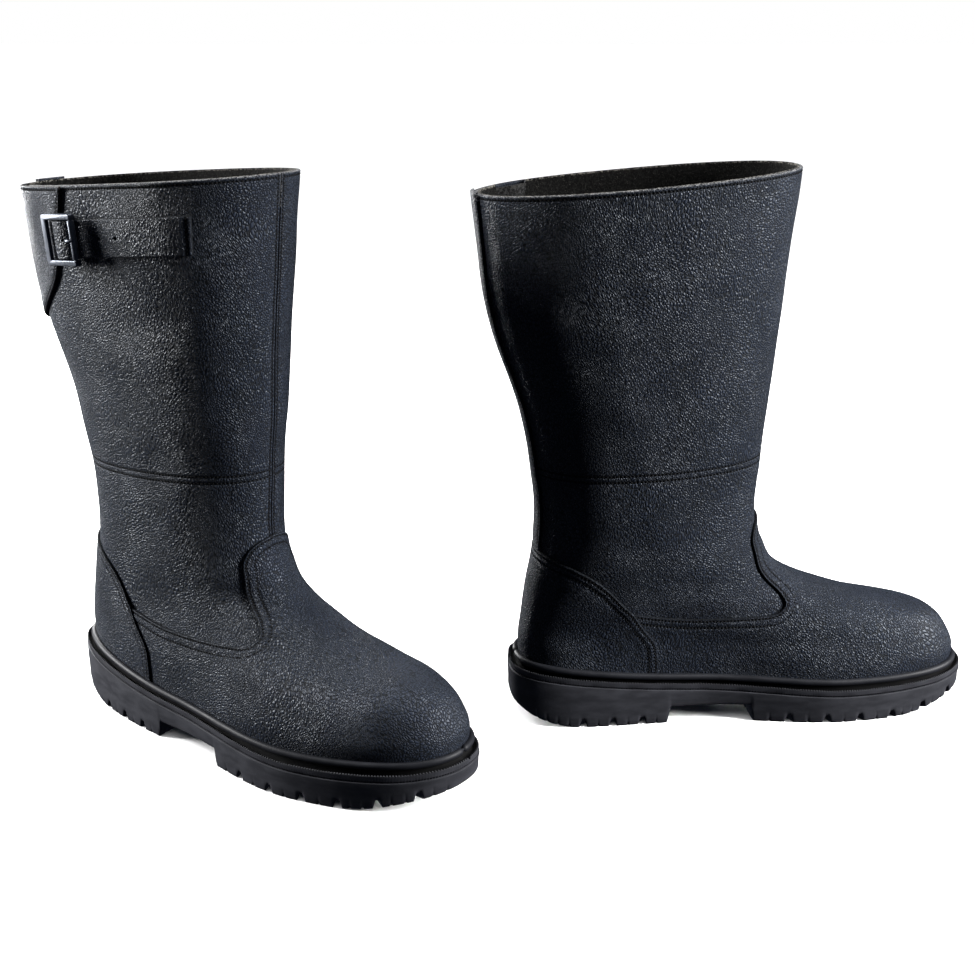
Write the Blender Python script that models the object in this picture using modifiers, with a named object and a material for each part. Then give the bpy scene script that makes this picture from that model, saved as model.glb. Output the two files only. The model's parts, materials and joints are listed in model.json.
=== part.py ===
"""A pair of fire boots: pull-on leather safety boots with a strap-and-buckle shaft and moulded soles.

Each boot is modelled in its own frame: x runs from the back of the heel to the toe, y points to
the outer side of the leg, z is up, and the tread stands on z = 0. The right boot is the mirror
image of the left. The pair is placed so that the origin is the bottom centre of its box.

The upper follows one inner surface, given by loops round the foot and leg. A point on it has u,
the turn round the leg (0 at the heel seam, 0.5 at the front, outer side first), and v, the level
of the loop. Linings, leather and reinforcements are layers at set distances outside it.
"""
import math
from collections import namedtuple

import bmesh
import bpy
import numpy as np
from mathutils import Matrix, Vector

MM = 0.001

# Driving dimensions, in metres
SOLE_LENGTH = 300 * MM
HEEL_HALF_WIDTH = 39.5 * MM
BALL_HALF_WIDTH = 53 * MM
FOOT_BOW = 10.7 * MM
HEEL_BREAST = 98 * MM
FOREPART_START = 151 * MM
ARCH_HEIGHT = 11 * MM
MIDSOLE_HEIGHT = 6.5 * MM
NOTCH_WIDTH = 5.6 * MM
NOTCH_HEIGHT = 5 * MM
NOTCH_DEPTH = 11 * MM
BEAD_RADIUS = 2 * MM

GAP = 0.35 * MM
FEATHER_GAP = 1.2 * MM
LINING = (0.0, 1.2 * MM)
LEATHER = (1.7 * MM, 3.6 * MM)
OVERLAY = (4.2 * MM, 6.1 * MM)
TOE_CAP = (1.6 * MM, 2.8 * MM)
BACK_STAY = (4.5 * MM, 6.1 * MM)

STRAP_LEVEL = 312 * MM
STRAP_HALF_WIDTH = 11.2 * MM
STRAP_THICKNESS = 1.8 * MM
STRAP_FRONT_U = 0.372
STRAP_TAIL_U = 0.194
STRAP_HOLE_RADIUS = 1.1 * MM
PRONG_HOLE = 6.8 * MM
PRONG_HOLE_LENGTH = 4.6 * MM
PRONG_HOLE_WIDTH = 1.5 * MM
STRAP_HOLES = (PRONG_HOLE, 24.5 * MM, 36.5 * MM)
BUCKLE_U = 0.225
BUCKLE_HALF_HEIGHT = 14.9 * MM
BUCKLE_REAR = -13.6 * MM
BUCKLE_FRONT = 11.6 * MM
RAIL = 3.2 * MM
RAIL_NOSE = 1.6 * MM
REAR_BAR_WIDTH = 4 * MM
REAR_BAR_DEPTH = 2.5 * MM
BAR_RADIUS = 1.3 * MM
BAR_OFFSET = 8.7 * MM
FRAME_LOW = 0.6 * MM
FRAME_TOP = 4.8 * MM
PIN_HEIGHT = 2.7 * MM
ROLLER_RADIUS = 2.0 * MM
ROLLER_BORE = 1.4 * MM
ROLLER_PIN = 1.1 * MM
ROLLER_PLAY = 0.4 * MM
EYE_RADIUS = 2.4 * MM
EYE_LENGTH = 2.6 * MM
BORE_PLAY = 0.2 * MM
PRONG_RADIUS = 1.0 * MM
CHAPE = 0.9 * MM
CHAPE_HALF_WIDTH = 9 * MM
CHAPE_LENGTH = 12 * MM

ROUND_LINES = 24
LEVEL_LINES = (33, 40, 47, 54, 60, 66, 71, 78, 87, 94, 101, 108, 116, 126, 142, 165, 195, 230, 263, 300, 342)
VAMP_CORNERS = (0.38, 0.404, 0.427)

# Where each boot stands (x, y in metres, turn in degrees); the pair is centred afterwards
RIGHT_PLACE = (-256 * MM, 868 * MM, -33.4)
LEFT_PLACE = (18 * MM, 810 * MM, 6.2)

# Heights along the sole: (x, z) in millimetres
WELT_LINE = ((0, 40), (50, 34), (98, 29.5), (160, 26), (220, 24), (270, 25.5), (300, 28.5))
TREAD_LINE = ((0, 14), (8, 9.5), (16, 5.5), (28, 1.8), (42, 0), (240, 0), (258, 1.6), (278, 6.2), (300, 12.5))
NOTCH_PLACES = (44, 63, 82, 175, 199, 221, 243, 265, 285)

# Seams: (u, v in millimetres), the same on the outer and inner side
COUNTER_EDGE = ((0, 114.5), (0.05, 112.7), (0.12, 108), (0.16, 101), (0.185, 92), (0.203, 78))
VAMP_EDGE = (
    (0.203, 77), (0.25, 73.5), (0.31, 73.5), (0.35, 77), (0.38, 82.5), (0.402, 91.5), (0.414, 103),
    (0.424, 116), (0.445, 125), (0.47, 128.5), (0.5, 130),
)
SHAFT_HEM = (
    (0, 107.5), (0.05, 105.7), (0.12, 101), (0.16, 93), (0.185, 84), (0.207, 70.5),
    (0.25, 67), (0.31, 67), (0.36, 70), (0.40, 84), (0.45, 98), (0.5, 102),
)
FLAP_EDGE = (
    (0.03, 254.5), (0.09, 260.5), (0.13, 266.5), (0.156, 273.5), (0.172, 279.5), (0.186, 286.5),
    (0.196, 296), (0.2075, 314), (0.2225, 342),
)
COUNTER_FRONT_U = 0.203
STIFFENER_DROP = 12 * MM
TOE_CAP_TOP = 63 * MM
LINING_SEAM = 122 * MM
BACK_STAY_FOOT = 115.6 * MM
BACK_STAY_CREST = 1.5 * MM
SLIT_TIP = (0.105, 272)
SLIT_TOP_U = (0.085, 0.145)
SLIT_OVERRUN = 0.15


# ---------------------------------------------------------------- the inner surface
Loop = namedtuple("Loop", "level x_back z_back x_front z_front heel ball foot")


def smooth_step(low, high, x):
    t = np.clip((x - low) / (high - low), 0, 1)
    return t * t * (3 - 2 * t)


def line_through(points, x):
    """A curve through (x, y) points with no overshoot between them."""
    xs, ys = (np.array(values, float) for values in zip(*points))
    step = np.diff(xs)
    slope = np.diff(ys) / step
    rate = np.zeros(len(xs))
    rate[0], rate[-1] = slope[0], slope[-1]
    for i in range(1, len(xs) - 1):
        if slope[i - 1] * slope[i] > 0:
            rate[i] = 2 * slope[i - 1] * slope[i] / (slope[i - 1] + slope[i])
    x = np.clip(np.asarray(x, float), xs[0], xs[-1])
    i = np.clip(np.searchsorted(xs, x, side="right") - 1, 0, len(xs) - 2)
    t = (x - xs[i]) / step[i]
    return (
        (2 * t**3 - 3 * t**2 + 1) * ys[i]
        + (t**3 - 2 * t**2 + t) * step[i] * rate[i]
        + (3 * t**2 - 2 * t**3) * ys[i + 1]
        + (t**3 - t**2) * step[i] * rate[i + 1]
    )


def welt_height(x):
    return line_through(WELT_LINE, np.asarray(x) / MM) * MM


def oval(u, heel_power, toe_power):
    """(s, width factor): where turn u falls between the back and the front of a rounded oval."""
    angle = 2 * math.pi * np.asarray(u, float)
    c, q = np.cos(angle), np.sin(angle)
    power = np.where(c > 0, heel_power, toe_power)
    s = (1 - np.sign(c) * np.abs(c) ** (2 / power)) / 2
    return s, np.sign(q) * np.abs(q) ** (2 / power)


def bow(s):
    return FOOT_BOW * np.sin(math.pi * np.clip(s, 0, 1))


def feather_loop():
    x_back, x_front = 12.5, 287.0
    clear = FEATHER_GAP / MM
    z_back = float(welt_height(x_back * MM)) / MM + clear
    z_front = float(welt_height(x_front * MM)) / MM + clear
    return Loop(33, x_back, z_back, x_front, z_front, 30.5, 41, 1.0)


# From the feather edge at the sole up to the rim, in millimetres
LOOPS = (
    feather_loop(),
    Loop(47, 12.5, 52, 286.0, 41.5, 31.0, 41.5, 1.0),
    Loop(60, 13.5, 62, 270.0, 57.5, 31.0, 36.5, 0.9),
    Loop(71, 15.0, 74, 226.0, 67.5, 31.5, 33.0, 0.65),
    Loop(87, 17.5, 90, 177.0, 86.0, 32.0, 33.0, 0.3),
    Loop(110, 20.5, 109, 156.0, 112.0, 34.0, 34.5, 0.1),
    Loop(130, 22.0, 129, 152.0, 131.0, 35.5, 35.5, 0.0),
    Loop(167, 19.0, 164, 154.5, 170.0, 36.5, 36.5, 0.0),
    Loop(204, 12.5, 200, 157.5, 208.0, 40.0, 40.0, 0.0),
    Loop(263, -6.5, 257, 162.5, 269.0, 46.5, 46.5, 0.0),
    Loop(342, -18.0, 334.5, 170.0, 349.5, 53.0, 53.0, 0.0),
)
LEVELS = np.array([loop.level for loop in LOOPS]) * MM
RIM = LEVELS[-1]
FEATHER = LEVELS[0]


def loop_points(loop, u):
    s, side = oval(u, 2.2 + 0.7 * loop.foot, 2.2 + 0.2 * loop.foot)
    half = loop.heel + (loop.ball - loop.heel) * smooth_step(0.38, 0.72, s)
    x = (loop.x_back + s * (loop.x_front - loop.x_back)) * MM
    low, high = welt_height(loop.x_back * MM), welt_height(loop.x_front * MM)
    sag = welt_height(x) - (low + s * (high - low))
    z = (loop.z_back + s * (loop.z_front - loop.z_back)) * MM + loop.foot * sag
    return np.stack([x, half * MM * side + loop.foot * bow(s), z], -1)


def surface(u, v):
    """Points of the inner surface, a smooth curve up through the loops for each turn u."""
    u, v = np.broadcast_arrays(np.asarray(u, float), np.asarray(v, float))
    rings = np.stack([loop_points(loop, u) for loop in LOOPS])
    step = np.diff(LEVELS).reshape((-1,) + (1,) * (rings.ndim - 1))
    slope = np.diff(rings, axis=0) / step
    rate = np.empty_like(rings)
    rate[0], rate[-1] = slope[0], slope[-1]
    rate[1:-1] = (slope[:-1] * step[1:] + slope[1:] * step[:-1]) / (step[1:] + step[:-1])
    i = np.clip(np.searchsorted(LEVELS, v, side="right") - 1, 0, len(LEVELS) - 2)
    height = np.diff(LEVELS)[i]
    t = ((v - LEVELS[i]) / height)[..., None]

    def pick(values, index):
        return np.take_along_axis(values, index[None, ..., None], 0)[0]

    return (
        (2 * t**3 - 3 * t**2 + 1) * pick(rings, i)
        + (t**3 - 2 * t**2 + t) * height[..., None] * pick(rate, i)
        + (3 * t**2 - 2 * t**3) * pick(rings, i + 1)
        + (t**3 - t**2) * height[..., None] * pick(rate, i + 1)
    )


def outward(u, v):
    turn, rise = 0.001, 0.5 * MM
    along = surface(np.asarray(u) + turn, v) - surface(np.asarray(u) - turn, v)
    up = surface(u, np.clip(v + rise, FEATHER, RIM)) - surface(u, np.clip(v - rise, FEATHER, RIM))
    normal = np.cross(up, along)
    return normal / np.linalg.norm(normal, axis=-1, keepdims=True)


def layer(u, v, offset):
    """Points at a distance outside the inner surface."""
    u, v, offset = np.broadcast_arrays(*(np.asarray(value, float) for value in (u, v, offset)))
    return surface(u, v) + outward(u, v) * offset[..., None]


# ---------------------------------------------------------------- scene helpers
def clear_scene():
    for item in list(bpy.data.objects):
        bpy.data.objects.remove(item, do_unlink=True)
    for group in list(bpy.data.collections):
        bpy.data.collections.remove(group)


def new_collection(name):
    group = bpy.data.collections.new(name)
    bpy.context.scene.collection.children.link(group)
    return group


def material(name, colour, roughness, metallic=0.0):
    made = bpy.data.materials.get(name) or bpy.data.materials.new(name)
    made.use_nodes = True
    shader = made.node_tree.nodes["Principled BSDF"]
    shader.inputs["Base Color"].default_value = (*colour, 1)
    shader.inputs["Roughness"].default_value = roughness
    shader.inputs["Metallic"].default_value = metallic
    return made


class Boot:
    """One boot: its name prefix, its placing empty and whether it is the mirrored one."""

    def __init__(self, prefix, place, mirrored, parts, cutters):
        self.prefix = prefix
        self.mirrored = mirrored
        self.parts = parts
        self.cutters = cutters
        self.root = bpy.data.objects.new(prefix + "_boot", None)
        self.root.location = (place[0], place[1], 0)
        self.root.rotation_euler = (0, 0, math.radians(place[2]))
        parts.objects.link(self.root)

    def add(self, name, mesh, paint, origin=None, cutter=False):
        """An object from a mesh in the boot's frame, with its origin moved to a joint axis if given."""
        if origin is not None:
            mesh.transform(Matrix.Translation(-Vector(origin)))
        if self.mirrored:
            mesh.transform(Matrix.Diagonal((1, -1, 1, 1)))
            mesh.flip_normals()
        item = bpy.data.objects.new(f"{self.prefix}_{name}", mesh)
        if origin is not None:
            item.location = (origin[0], -origin[1] if self.mirrored else origin[1], origin[2])
        item.parent = self.root
        if cutter:
            item.hide_render = True
            item.display_type = "WIRE"
            self.cutters.objects.link(item)
        else:
            mesh.materials.append(paint)
            self.parts.objects.link(item)
        return item

    def cut(self, item, cutter):
        modifier = item.modifiers.new("cut", "BOOLEAN")
        modifier.operation = "DIFFERENCE"
        modifier.object = cutter


def finish_mesh(name, bm, smooth=True):
    bmesh.ops.remove_doubles(bm, verts=bm.verts, dist=0.00002)
    mesh = bpy.data.meshes.new(name)
    bm.to_mesh(mesh)
    bm.free()
    if smooth:
        mesh.shade_smooth()
        mesh.set_sharp_from_angle(angle=math.radians(35))
    return mesh


def grid_mesh(name, points, closed=False):
    """A surface through rows of points, facing outward; closed joins the last column to the first."""
    rows, columns = points.shape[:2]
    bm = bmesh.new()
    verts = [[bm.verts.new(point) for point in row] for row in points]
    for i in range(rows - 1):
        for j in range(columns if closed else columns - 1):
            k = (j + 1) % columns
            corners = (verts[i][j], verts[i + 1][j], verts[i + 1][k], verts[i][k])
            bm.faces.new(corners)
    bmesh.ops.remove_doubles(bm, verts=bm.verts, dist=0.00002)
    bmesh.ops.dissolve_degenerate(bm, edges=bm.edges, dist=0.00001)
    return finish_mesh(name, bm)


def thicken(item, thickness, offset=1.0):
    modifier = item.modifiers.new("thickness", "SOLIDIFY")
    modifier.thickness = thickness
    modifier.offset = offset
    modifier.use_even_offset = False


def turn_lines(first, last, extra=()):
    """The shared turns from first to last, so that layers over each other have the same facets."""
    shared = [k / ROUND_LINES for k in range(-ROUND_LINES, ROUND_LINES + 1)]
    inner = [u for u in (*shared, *extra) if first + 0.004 < u < last - 0.004]
    return np.array(sorted({first, last, *inner}))


def edge_level(points, u):
    """The level of a seam that is the same on both sides of the boot."""
    folded = 0.5 - np.abs(np.mod(u, 1) - 0.5)
    return line_through(points, folded) * MM


def shared_levels(low, high):
    """The shared levels, held between low and high; rows that fall together are merged later."""
    lines = np.array(LEVEL_LINES)[:, None] * MM
    return np.clip(lines, low, high)


def shell_panel(boot, name, paint, turns, low, high, band):
    """A sheet of leather between levels low and high for each turn, in one band of offsets."""
    levels = shared_levels(low[None, :], high[None, :])
    points = layer(turns[None, :], levels, band[0])
    item = boot.add(name, grid_mesh(name, points), paint)
    thicken(item, band[1] - band[0])
    return item


# ---------------------------------------------------------------- sole
def sole_station(turns, inset=0.0):
    """x, outer y and inner y of the sole's outline at turns from 0 (heel) to 0.5 (toe)."""
    s, side = oval(turns, 3.2, 2.35)
    width = HEEL_HALF_WIDTH + (BALL_HALF_WIDTH - HEEL_HALF_WIDTH) * smooth_step(0.38, 0.72, s)
    half = (width - inset) * side
    return inset + s * (SOLE_LENGTH - 2 * inset), bow(s) + half, bow(s) - half


def feather_station(turns, inset):
    outer = loop_points(LOOPS[0], turns)
    inner = loop_points(LOOPS[0], 1 - turns)
    centre, half = (outer + inner) / 2, (outer - inner) / 2
    middle = centre[-1, 0] / 2 + centre[0, 0] / 2
    shrink = 1 - inset / (middle - centre[0, 0])
    x = middle + (centre[:, 0] - middle) * shrink
    keep = np.maximum(np.abs(half[:, 1]) - inset, 0) * (np.sin(2 * math.pi * turns) > 1e-6)
    return x, centre[:, 1] + keep, centre[:, 1] - keep


def slab_mesh(name, station, low, high, columns=6):
    """A closed slab inside an outline, with low(x) and high(x) as its under and upper heights."""
    x, outer, inner = station
    across = np.linspace(0, 1, columns + 1)
    y = outer[:, None] + across[None, :] * (inner - outer)[:, None]
    grid_x = np.broadcast_to(x[:, None], y.shape)
    bottom = np.stack([grid_x, y, np.broadcast_to(low[:, None], y.shape)], -1)
    top = np.stack([grid_x, y, np.broadcast_to(high[:, None], y.shape)], -1)
    bm = bmesh.new()
    under = [[bm.verts.new(point) for point in row] for row in bottom]
    upper = [[bm.verts.new(point) for point in row] for row in top]
    for i in range(len(x) - 1):
        for j in range(columns):
            bm.faces.new((upper[i][j], upper[i][j + 1], upper[i + 1][j + 1], upper[i + 1][j]))
            bm.faces.new((under[i][j], under[i + 1][j], under[i + 1][j + 1], under[i][j + 1]))
        bm.faces.new((under[i][0], upper[i][0], upper[i + 1][0], under[i + 1][0]))
        last = columns
        bm.faces.new((under[i][last], under[i + 1][last], upper[i + 1][last], upper[i][last]))
    bmesh.ops.remove_doubles(bm, verts=bm.verts, dist=0.00002)
    bmesh.ops.dissolve_degenerate(bm, edges=bm.edges, dist=0.00001)
    bmesh.ops.recalc_face_normals(bm, faces=bm.faces)
    return finish_mesh(name, bm)


def sole_turns(count=26, marks=()):
    """Turns along the sole, evenly spaced plus those of given places x."""
    even = np.linspace(0, 0.5, count + 1)
    fine = np.linspace(0, 0.5, 4001)
    places = sole_station(fine)[0]
    extra = np.interp(marks, places, fine)
    keep = [u for u in even if np.all(np.abs(u - extra) > 0.004)]
    return np.array(sorted([*keep, *extra]))


def notch_cutter(boot):
    """Diamond bars across the edge of the tread, one for each notch on each side."""
    bm = bmesh.new()
    fine = np.linspace(0, 0.5, 2001)
    x, outer, inner = sole_station(fine)
    for place in NOTCH_PLACES:
        i = int(np.argmin(np.abs(x - place * MM)))
        for edge in (outer, inner):
            run = Vector((x[i + 3] - x[i - 3], edge[i + 3] - edge[i - 3], 0)).normalized()
            floor = float(line_through(TREAD_LINE, x[i] / MM)) * MM
            turn = run.to_track_quat("X", "Z").to_matrix().to_4x4()
            turn = Matrix.Translation((x[i], edge[i], floor)) @ turn
            lie = Matrix.Rotation(math.pi / 2, 4, "X")
            shape = Matrix.Diagonal((NOTCH_WIDTH / 2, 1, NOTCH_HEIGHT, 1)) @ lie
            bmesh.ops.create_cone(
                bm, cap_ends=True, segments=4, radius1=1, radius2=1,
                depth=2 * NOTCH_DEPTH, matrix=turn @ shape,
            )
    bmesh.ops.recalc_face_normals(bm, faces=bm.faces)
    return boot.add("notch_cutter", finish_mesh("notch_cutter", bm), None, cutter=True)


def make_sole(boot, rubber, steel, board, foam):
    slope = 2.5 * MM
    tread_ends = (40 * MM, 232 * MM)
    marks = (HEEL_BREAST, HEEL_BREAST + slope, FOREPART_START, FOREPART_START + slope, *tread_ends)
    turns = sole_turns(26, marks)
    station = sole_station(turns)
    x = station[0]
    tread = line_through(TREAD_LINE, x / MM) * MM
    arch = (x > HEEL_BREAST + slope / 2) & (x < FOREPART_START + slope / 2)
    low = np.where(arch, ARCH_HEIGHT, tread)
    split = welt_height(x) - MIDSOLE_HEIGHT
    outsole = boot.add("outsole", slab_mesh("outsole", station, low, split - GAP), rubber)
    boot.cut(outsole, notch_cutter(boot))
    boot.add("midsole", slab_mesh("midsole", station, split, welt_height(x)), rubber)

    stack = (
        ("steel_plate", steel, 0.35, 1.05),
        ("insole_board", board, 1.4, 3.4),
        ("footbed", foam, 3.75, 8.5),
    )
    inner = feather_station(np.linspace(0, 0.5, 19), FEATHER_GAP)
    heights = welt_height(inner[0])
    for name, paint, under, over in stack:
        mesh = slab_mesh(name, inner, heights + under * MM, heights + over * MM, columns=4)
        boot.add(name, mesh, paint)


def make_bead(boot, rubber):
    """The round bead of rubber that hugs the foot of the upper."""
    turns = np.arange(48) / 48
    out = OVERLAY[1] + 4 * GAP + BEAD_RADIUS
    points = layer(turns, FEATHER, out)
    points[:, 2] = welt_height(points[:, 0]) + GAP + BEAD_RADIUS
    curve = bpy.data.curves.new("welt_bead", "CURVE")
    curve.dimensions = "3D"
    curve.bevel_depth = BEAD_RADIUS
    curve.bevel_resolution = 1
    spline = curve.splines.new("POLY")
    spline.points.add(len(points) - 1)
    for target, point in zip(spline.points, points):
        y = -point[1] if boot.mirrored else point[1]
        target.co = (point[0], y, point[2], 1)
    spline.use_cyclic_u = True
    item = bpy.data.objects.new(boot.prefix + "_welt_bead", curve)
    item.parent = boot.root
    curve.materials.append(rubber)
    boot.parts.objects.link(item)


# ---------------------------------------------------------------- upper
def slit_cutter(boot):
    """A wedge that opens the shaft from the rim down to the slit's tip, for the gusset."""
    tip = layer(SLIT_TIP[0], SLIT_TIP[1] * MM, 2 * MM)
    rear = layer(SLIT_TOP_U[0], RIM, 2 * MM)
    front = layer(SLIT_TOP_U[1], RIM, 2 * MM)
    reach = 12 * MM
    rear_top = rear + (rear - tip) * SLIT_OVERRUN
    front_top = front + (front - tip) * SLIT_OVERRUN
    normal = outward(np.array(sum(SLIT_TOP_U) / 2), np.array(RIM - 30 * MM))
    bm = bmesh.new()
    base = [bm.verts.new(point - normal * reach) for point in (tip, front_top, rear_top)]
    face = bm.faces.new(base)
    moved = bmesh.ops.extrude_face_region(bm, geom=[face])["geom"]
    lifted = [item for item in moved if isinstance(item, bmesh.types.BMVert)]
    bmesh.ops.translate(bm, verts=lifted, vec=Vector(normal * 2 * reach))
    bmesh.ops.recalc_face_normals(bm, faces=bm.faces)
    return boot.add("slit_cutter", finish_mesh("slit_cutter", bm, smooth=False), None, cutter=True)


def make_linings(boot, felt, canvas):
    """The felt of the shaft and the canvas of the foot, which meet at the ankle."""
    turns = np.arange(ROUND_LINES) / ROUND_LINES
    bands = (
        ("vamp_lining", canvas, FEATHER, LINING_SEAM),
        ("shaft_lining", felt, LINING_SEAM + 0.5 * MM, RIM),
    )
    made = {}
    for name, paint, low, high in bands:
        levels = np.unique(shared_levels(low, high))
        points = layer(turns[None, :], levels[:, None], LINING[0])
        made[name] = boot.add(name, grid_mesh(name, points, closed=True), paint)
        thicken(made[name], LINING[1] - LINING[0])
    return made["shaft_lining"]


def make_reinforcements(boot, steel, board):
    foot = FEATHER + 0.6 * MM
    turns = turn_lines(0.375, 0.625)
    low = np.full(len(turns), foot)
    shell_panel(boot, "toe_cap", steel, turns, low, np.full(len(turns), TOE_CAP_TOP), TOE_CAP)
    turns = turn_lines(-0.17, 0.17)
    low = np.full(len(turns), foot)
    high = edge_level(COUNTER_EDGE, turns) - STIFFENER_DROP
    shell_panel(boot, "heel_stiffener", board, turns, low, high, LEATHER)


def make_foot_leather(boot, leather):
    foot = FEATHER + 0.3 * MM
    start = COUNTER_FRONT_U + 0.0012
    corners = (*VAMP_CORNERS, *(1 - u for u in VAMP_CORNERS))
    turns = turn_lines(start, 1 - start, corners)
    low = np.full(len(turns), foot)
    shell_panel(boot, "vamp", leather, turns, low, edge_level(VAMP_EDGE, turns), OVERLAY)
    turns = turn_lines(-COUNTER_FRONT_U, COUNTER_FRONT_U)
    low = np.full(len(turns), foot)
    shell_panel(boot, "heel_counter", leather, turns, low, edge_level(COUNTER_EDGE, turns), OVERLAY)


def make_shaft_leather(boot, leather):
    """Two side panels that meet at the front and back seams; the outer one has the slit."""
    seam = 0.0008
    made = {}
    for name, first, last in (
        ("lateral_shaft_panel", seam, 0.5 - seam),
        ("medial_shaft_panel", 0.5 + seam, 1 - seam),
    ):
        turns = turn_lines(first, last)
        low = edge_level(SHAFT_HEM, turns)
        high = np.full(len(turns), RIM)
        made[name] = shell_panel(boot, name, leather, turns, low, high, LEATHER)
    return made["lateral_shaft_panel"]


def make_back_stay(boot, leather):
    """The strip over the back seam; its top end stands a little above the rim."""
    levels = np.linspace(BACK_STAY_FOOT, RIM, 13)
    half_turn = np.interp(levels, (FEATHER, RIM), (0.036, 0.025))
    across = np.array((-1, 0, 1))
    points = layer(across[None, :] * half_turn[:, None], levels[:, None], BACK_STAY[0])
    crest = points[-1:] + np.array((0, 0, BACK_STAY_CREST))
    item = boot.add("back_stay", grid_mesh("back_stay", np.concatenate([points, crest])), leather)
    thicken(item, BACK_STAY[1] - BACK_STAY[0])


def make_flap(boot, leather):
    """The panel that closes over the slit: its lower edge climbs from the back stay to the rim."""
    start = 0.03
    levels = np.linspace(FLAP_EDGE[0][1] + 6, FLAP_EDGE[-1][1], 13)
    edge = np.interp(levels, [v for _, v in FLAP_EDGE], [u for u, _ in FLAP_EDGE])
    lines = turn_lines(start, 0.225)
    turns = np.minimum(lines[None, :], edge[:, None])
    points = layer(turns, levels[:, None] * MM, OVERLAY[0])
    item = boot.add("shaft_flap", grid_mesh("shaft_flap", points), leather)
    thicken(item, OVERLAY[1] - OVERLAY[0])


def make_gusset(boot, leather):
    """A sheet folded inward once, which lets the slit open."""
    margin = 0.003
    levels = np.linspace(SLIT_TIP[1] + 12, RIM / MM - 2, 5) * MM
    share = (levels - SLIT_TIP[1] * MM) / (RIM - SLIT_TIP[1] * MM)
    rear = SLIT_TIP[0] + (SLIT_TOP_U[0] - SLIT_TIP[0]) * share + margin
    front = SLIT_TIP[0] + (SLIT_TOP_U[1] - SLIT_TIP[0]) * share - margin
    across = np.linspace(0, 1, 7)
    turns = rear[:, None] + across[None, :] * (front - rear)[:, None]
    fold = share[:, None] * np.sin(math.pi * across[None, :]) ** 2
    points = layer(turns, levels[:, None], (1 - 5 * fold) * MM)
    item = boot.add("gusset", grid_mesh("gusset", points), leather)
    thicken(item, 0.8 * MM, offset=0.0)


# ---------------------------------------------------------------- strap and buckle
class BuckleFrame:
    """Axes at the middle of the buckle's centre bar: ahead along the strap, up the bar, out of the leg.

    The buckle hangs more upright than the flared shaft behind it.
    """

    def __init__(self):
        u, v = np.array(BUCKLE_U), np.array(STRAP_LEVEL)
        self.out = outward(u, v) * (1, 1, 0.6)
        self.out /= np.linalg.norm(self.out)
        ahead = surface(u + 0.002, v) - surface(u - 0.002, v)
        ahead -= self.out * ahead.dot(self.out)
        self.ahead = ahead / np.linalg.norm(ahead)
        self.up = np.cross(self.out, self.ahead) * -1
        self.up = self.up if self.up[2] > 0 else -self.up
        self.origin = layer(u, v, BAR_OFFSET)

    def point(self, ahead, up, out):
        return self.origin + self.ahead * ahead + self.up * up + self.out * out

    def matrix(self, ahead=0.0, up=0.0, out=0.0):
        """From buckle axes (x ahead, y up the bar, z out) to the boot's frame."""
        columns = Matrix((self.ahead, self.up, self.out)).transposed().to_4x4()
        return Matrix.Translation(self.point(ahead, up, out)) @ columns


def box_mesh(name, size, matrix):
    bm = bmesh.new()
    bmesh.ops.create_cube(bm, size=1, matrix=matrix @ Matrix.Diagonal((*size, 1)))
    bmesh.ops.recalc_face_normals(bm, faces=bm.faces)
    return finish_mesh(name, bm, smooth=False)


def rod_mesh(name, radius, length, matrix, sides=16):
    """A rod along the buckle's up axis."""
    bm = bmesh.new()
    lie = Matrix.Rotation(math.pi / 2, 4, "X")
    bmesh.ops.create_cone(
        bm, cap_ends=True, segments=sides, radius1=radius, radius2=radius, depth=length, matrix=matrix @ lie
    )
    bmesh.ops.recalc_face_normals(bm, faces=bm.faces)
    return finish_mesh(name, bm)


def tube_mesh(name, outer, bore, length, matrix, sides=14):
    """A tube along the buckle's up axis, from its turned section."""
    bm = bmesh.new()
    section = [(bore, -length / 2), (outer, -length / 2), (outer, length / 2), (bore, length / 2)]
    rings = []
    for i in range(sides):
        angle = 2 * math.pi * i / sides
        c, s = math.cos(angle), math.sin(angle)
        rings.append([bm.verts.new(matrix @ Vector((r * c, h, r * s))) for r, h in section])
    for i in range(sides):
        for j in range(4):
            a, b = rings[i], rings[(i + 1) % sides]
            bm.faces.new((a[j], b[j], b[(j + 1) % 4], a[(j + 1) % 4]))
    bmesh.ops.recalc_face_normals(bm, faces=bm.faces)
    return finish_mesh(name, bm)


def strap_rise(distance, drop):
    """How far the strap's under face is outside the inner surface, by distance ahead of the centre bar.

    Near the bar the strap lies flat, so it also makes up the drop of the surface below the bar's plane.
    """
    stations = np.array((-60, -19, -12, -5.0, 0, 4.5, 11.5, 18, 200)) * MM
    heights = np.array((6.6, 6.9, 7.3, 9.8, 11.6, 10.7, 5.4, 4.2, 4.2)) * MM
    flat = 1 - smooth_step(14 * MM, 26 * MM, np.abs(distance))
    return np.interp(distance, stations, heights) + flat * drop


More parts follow.
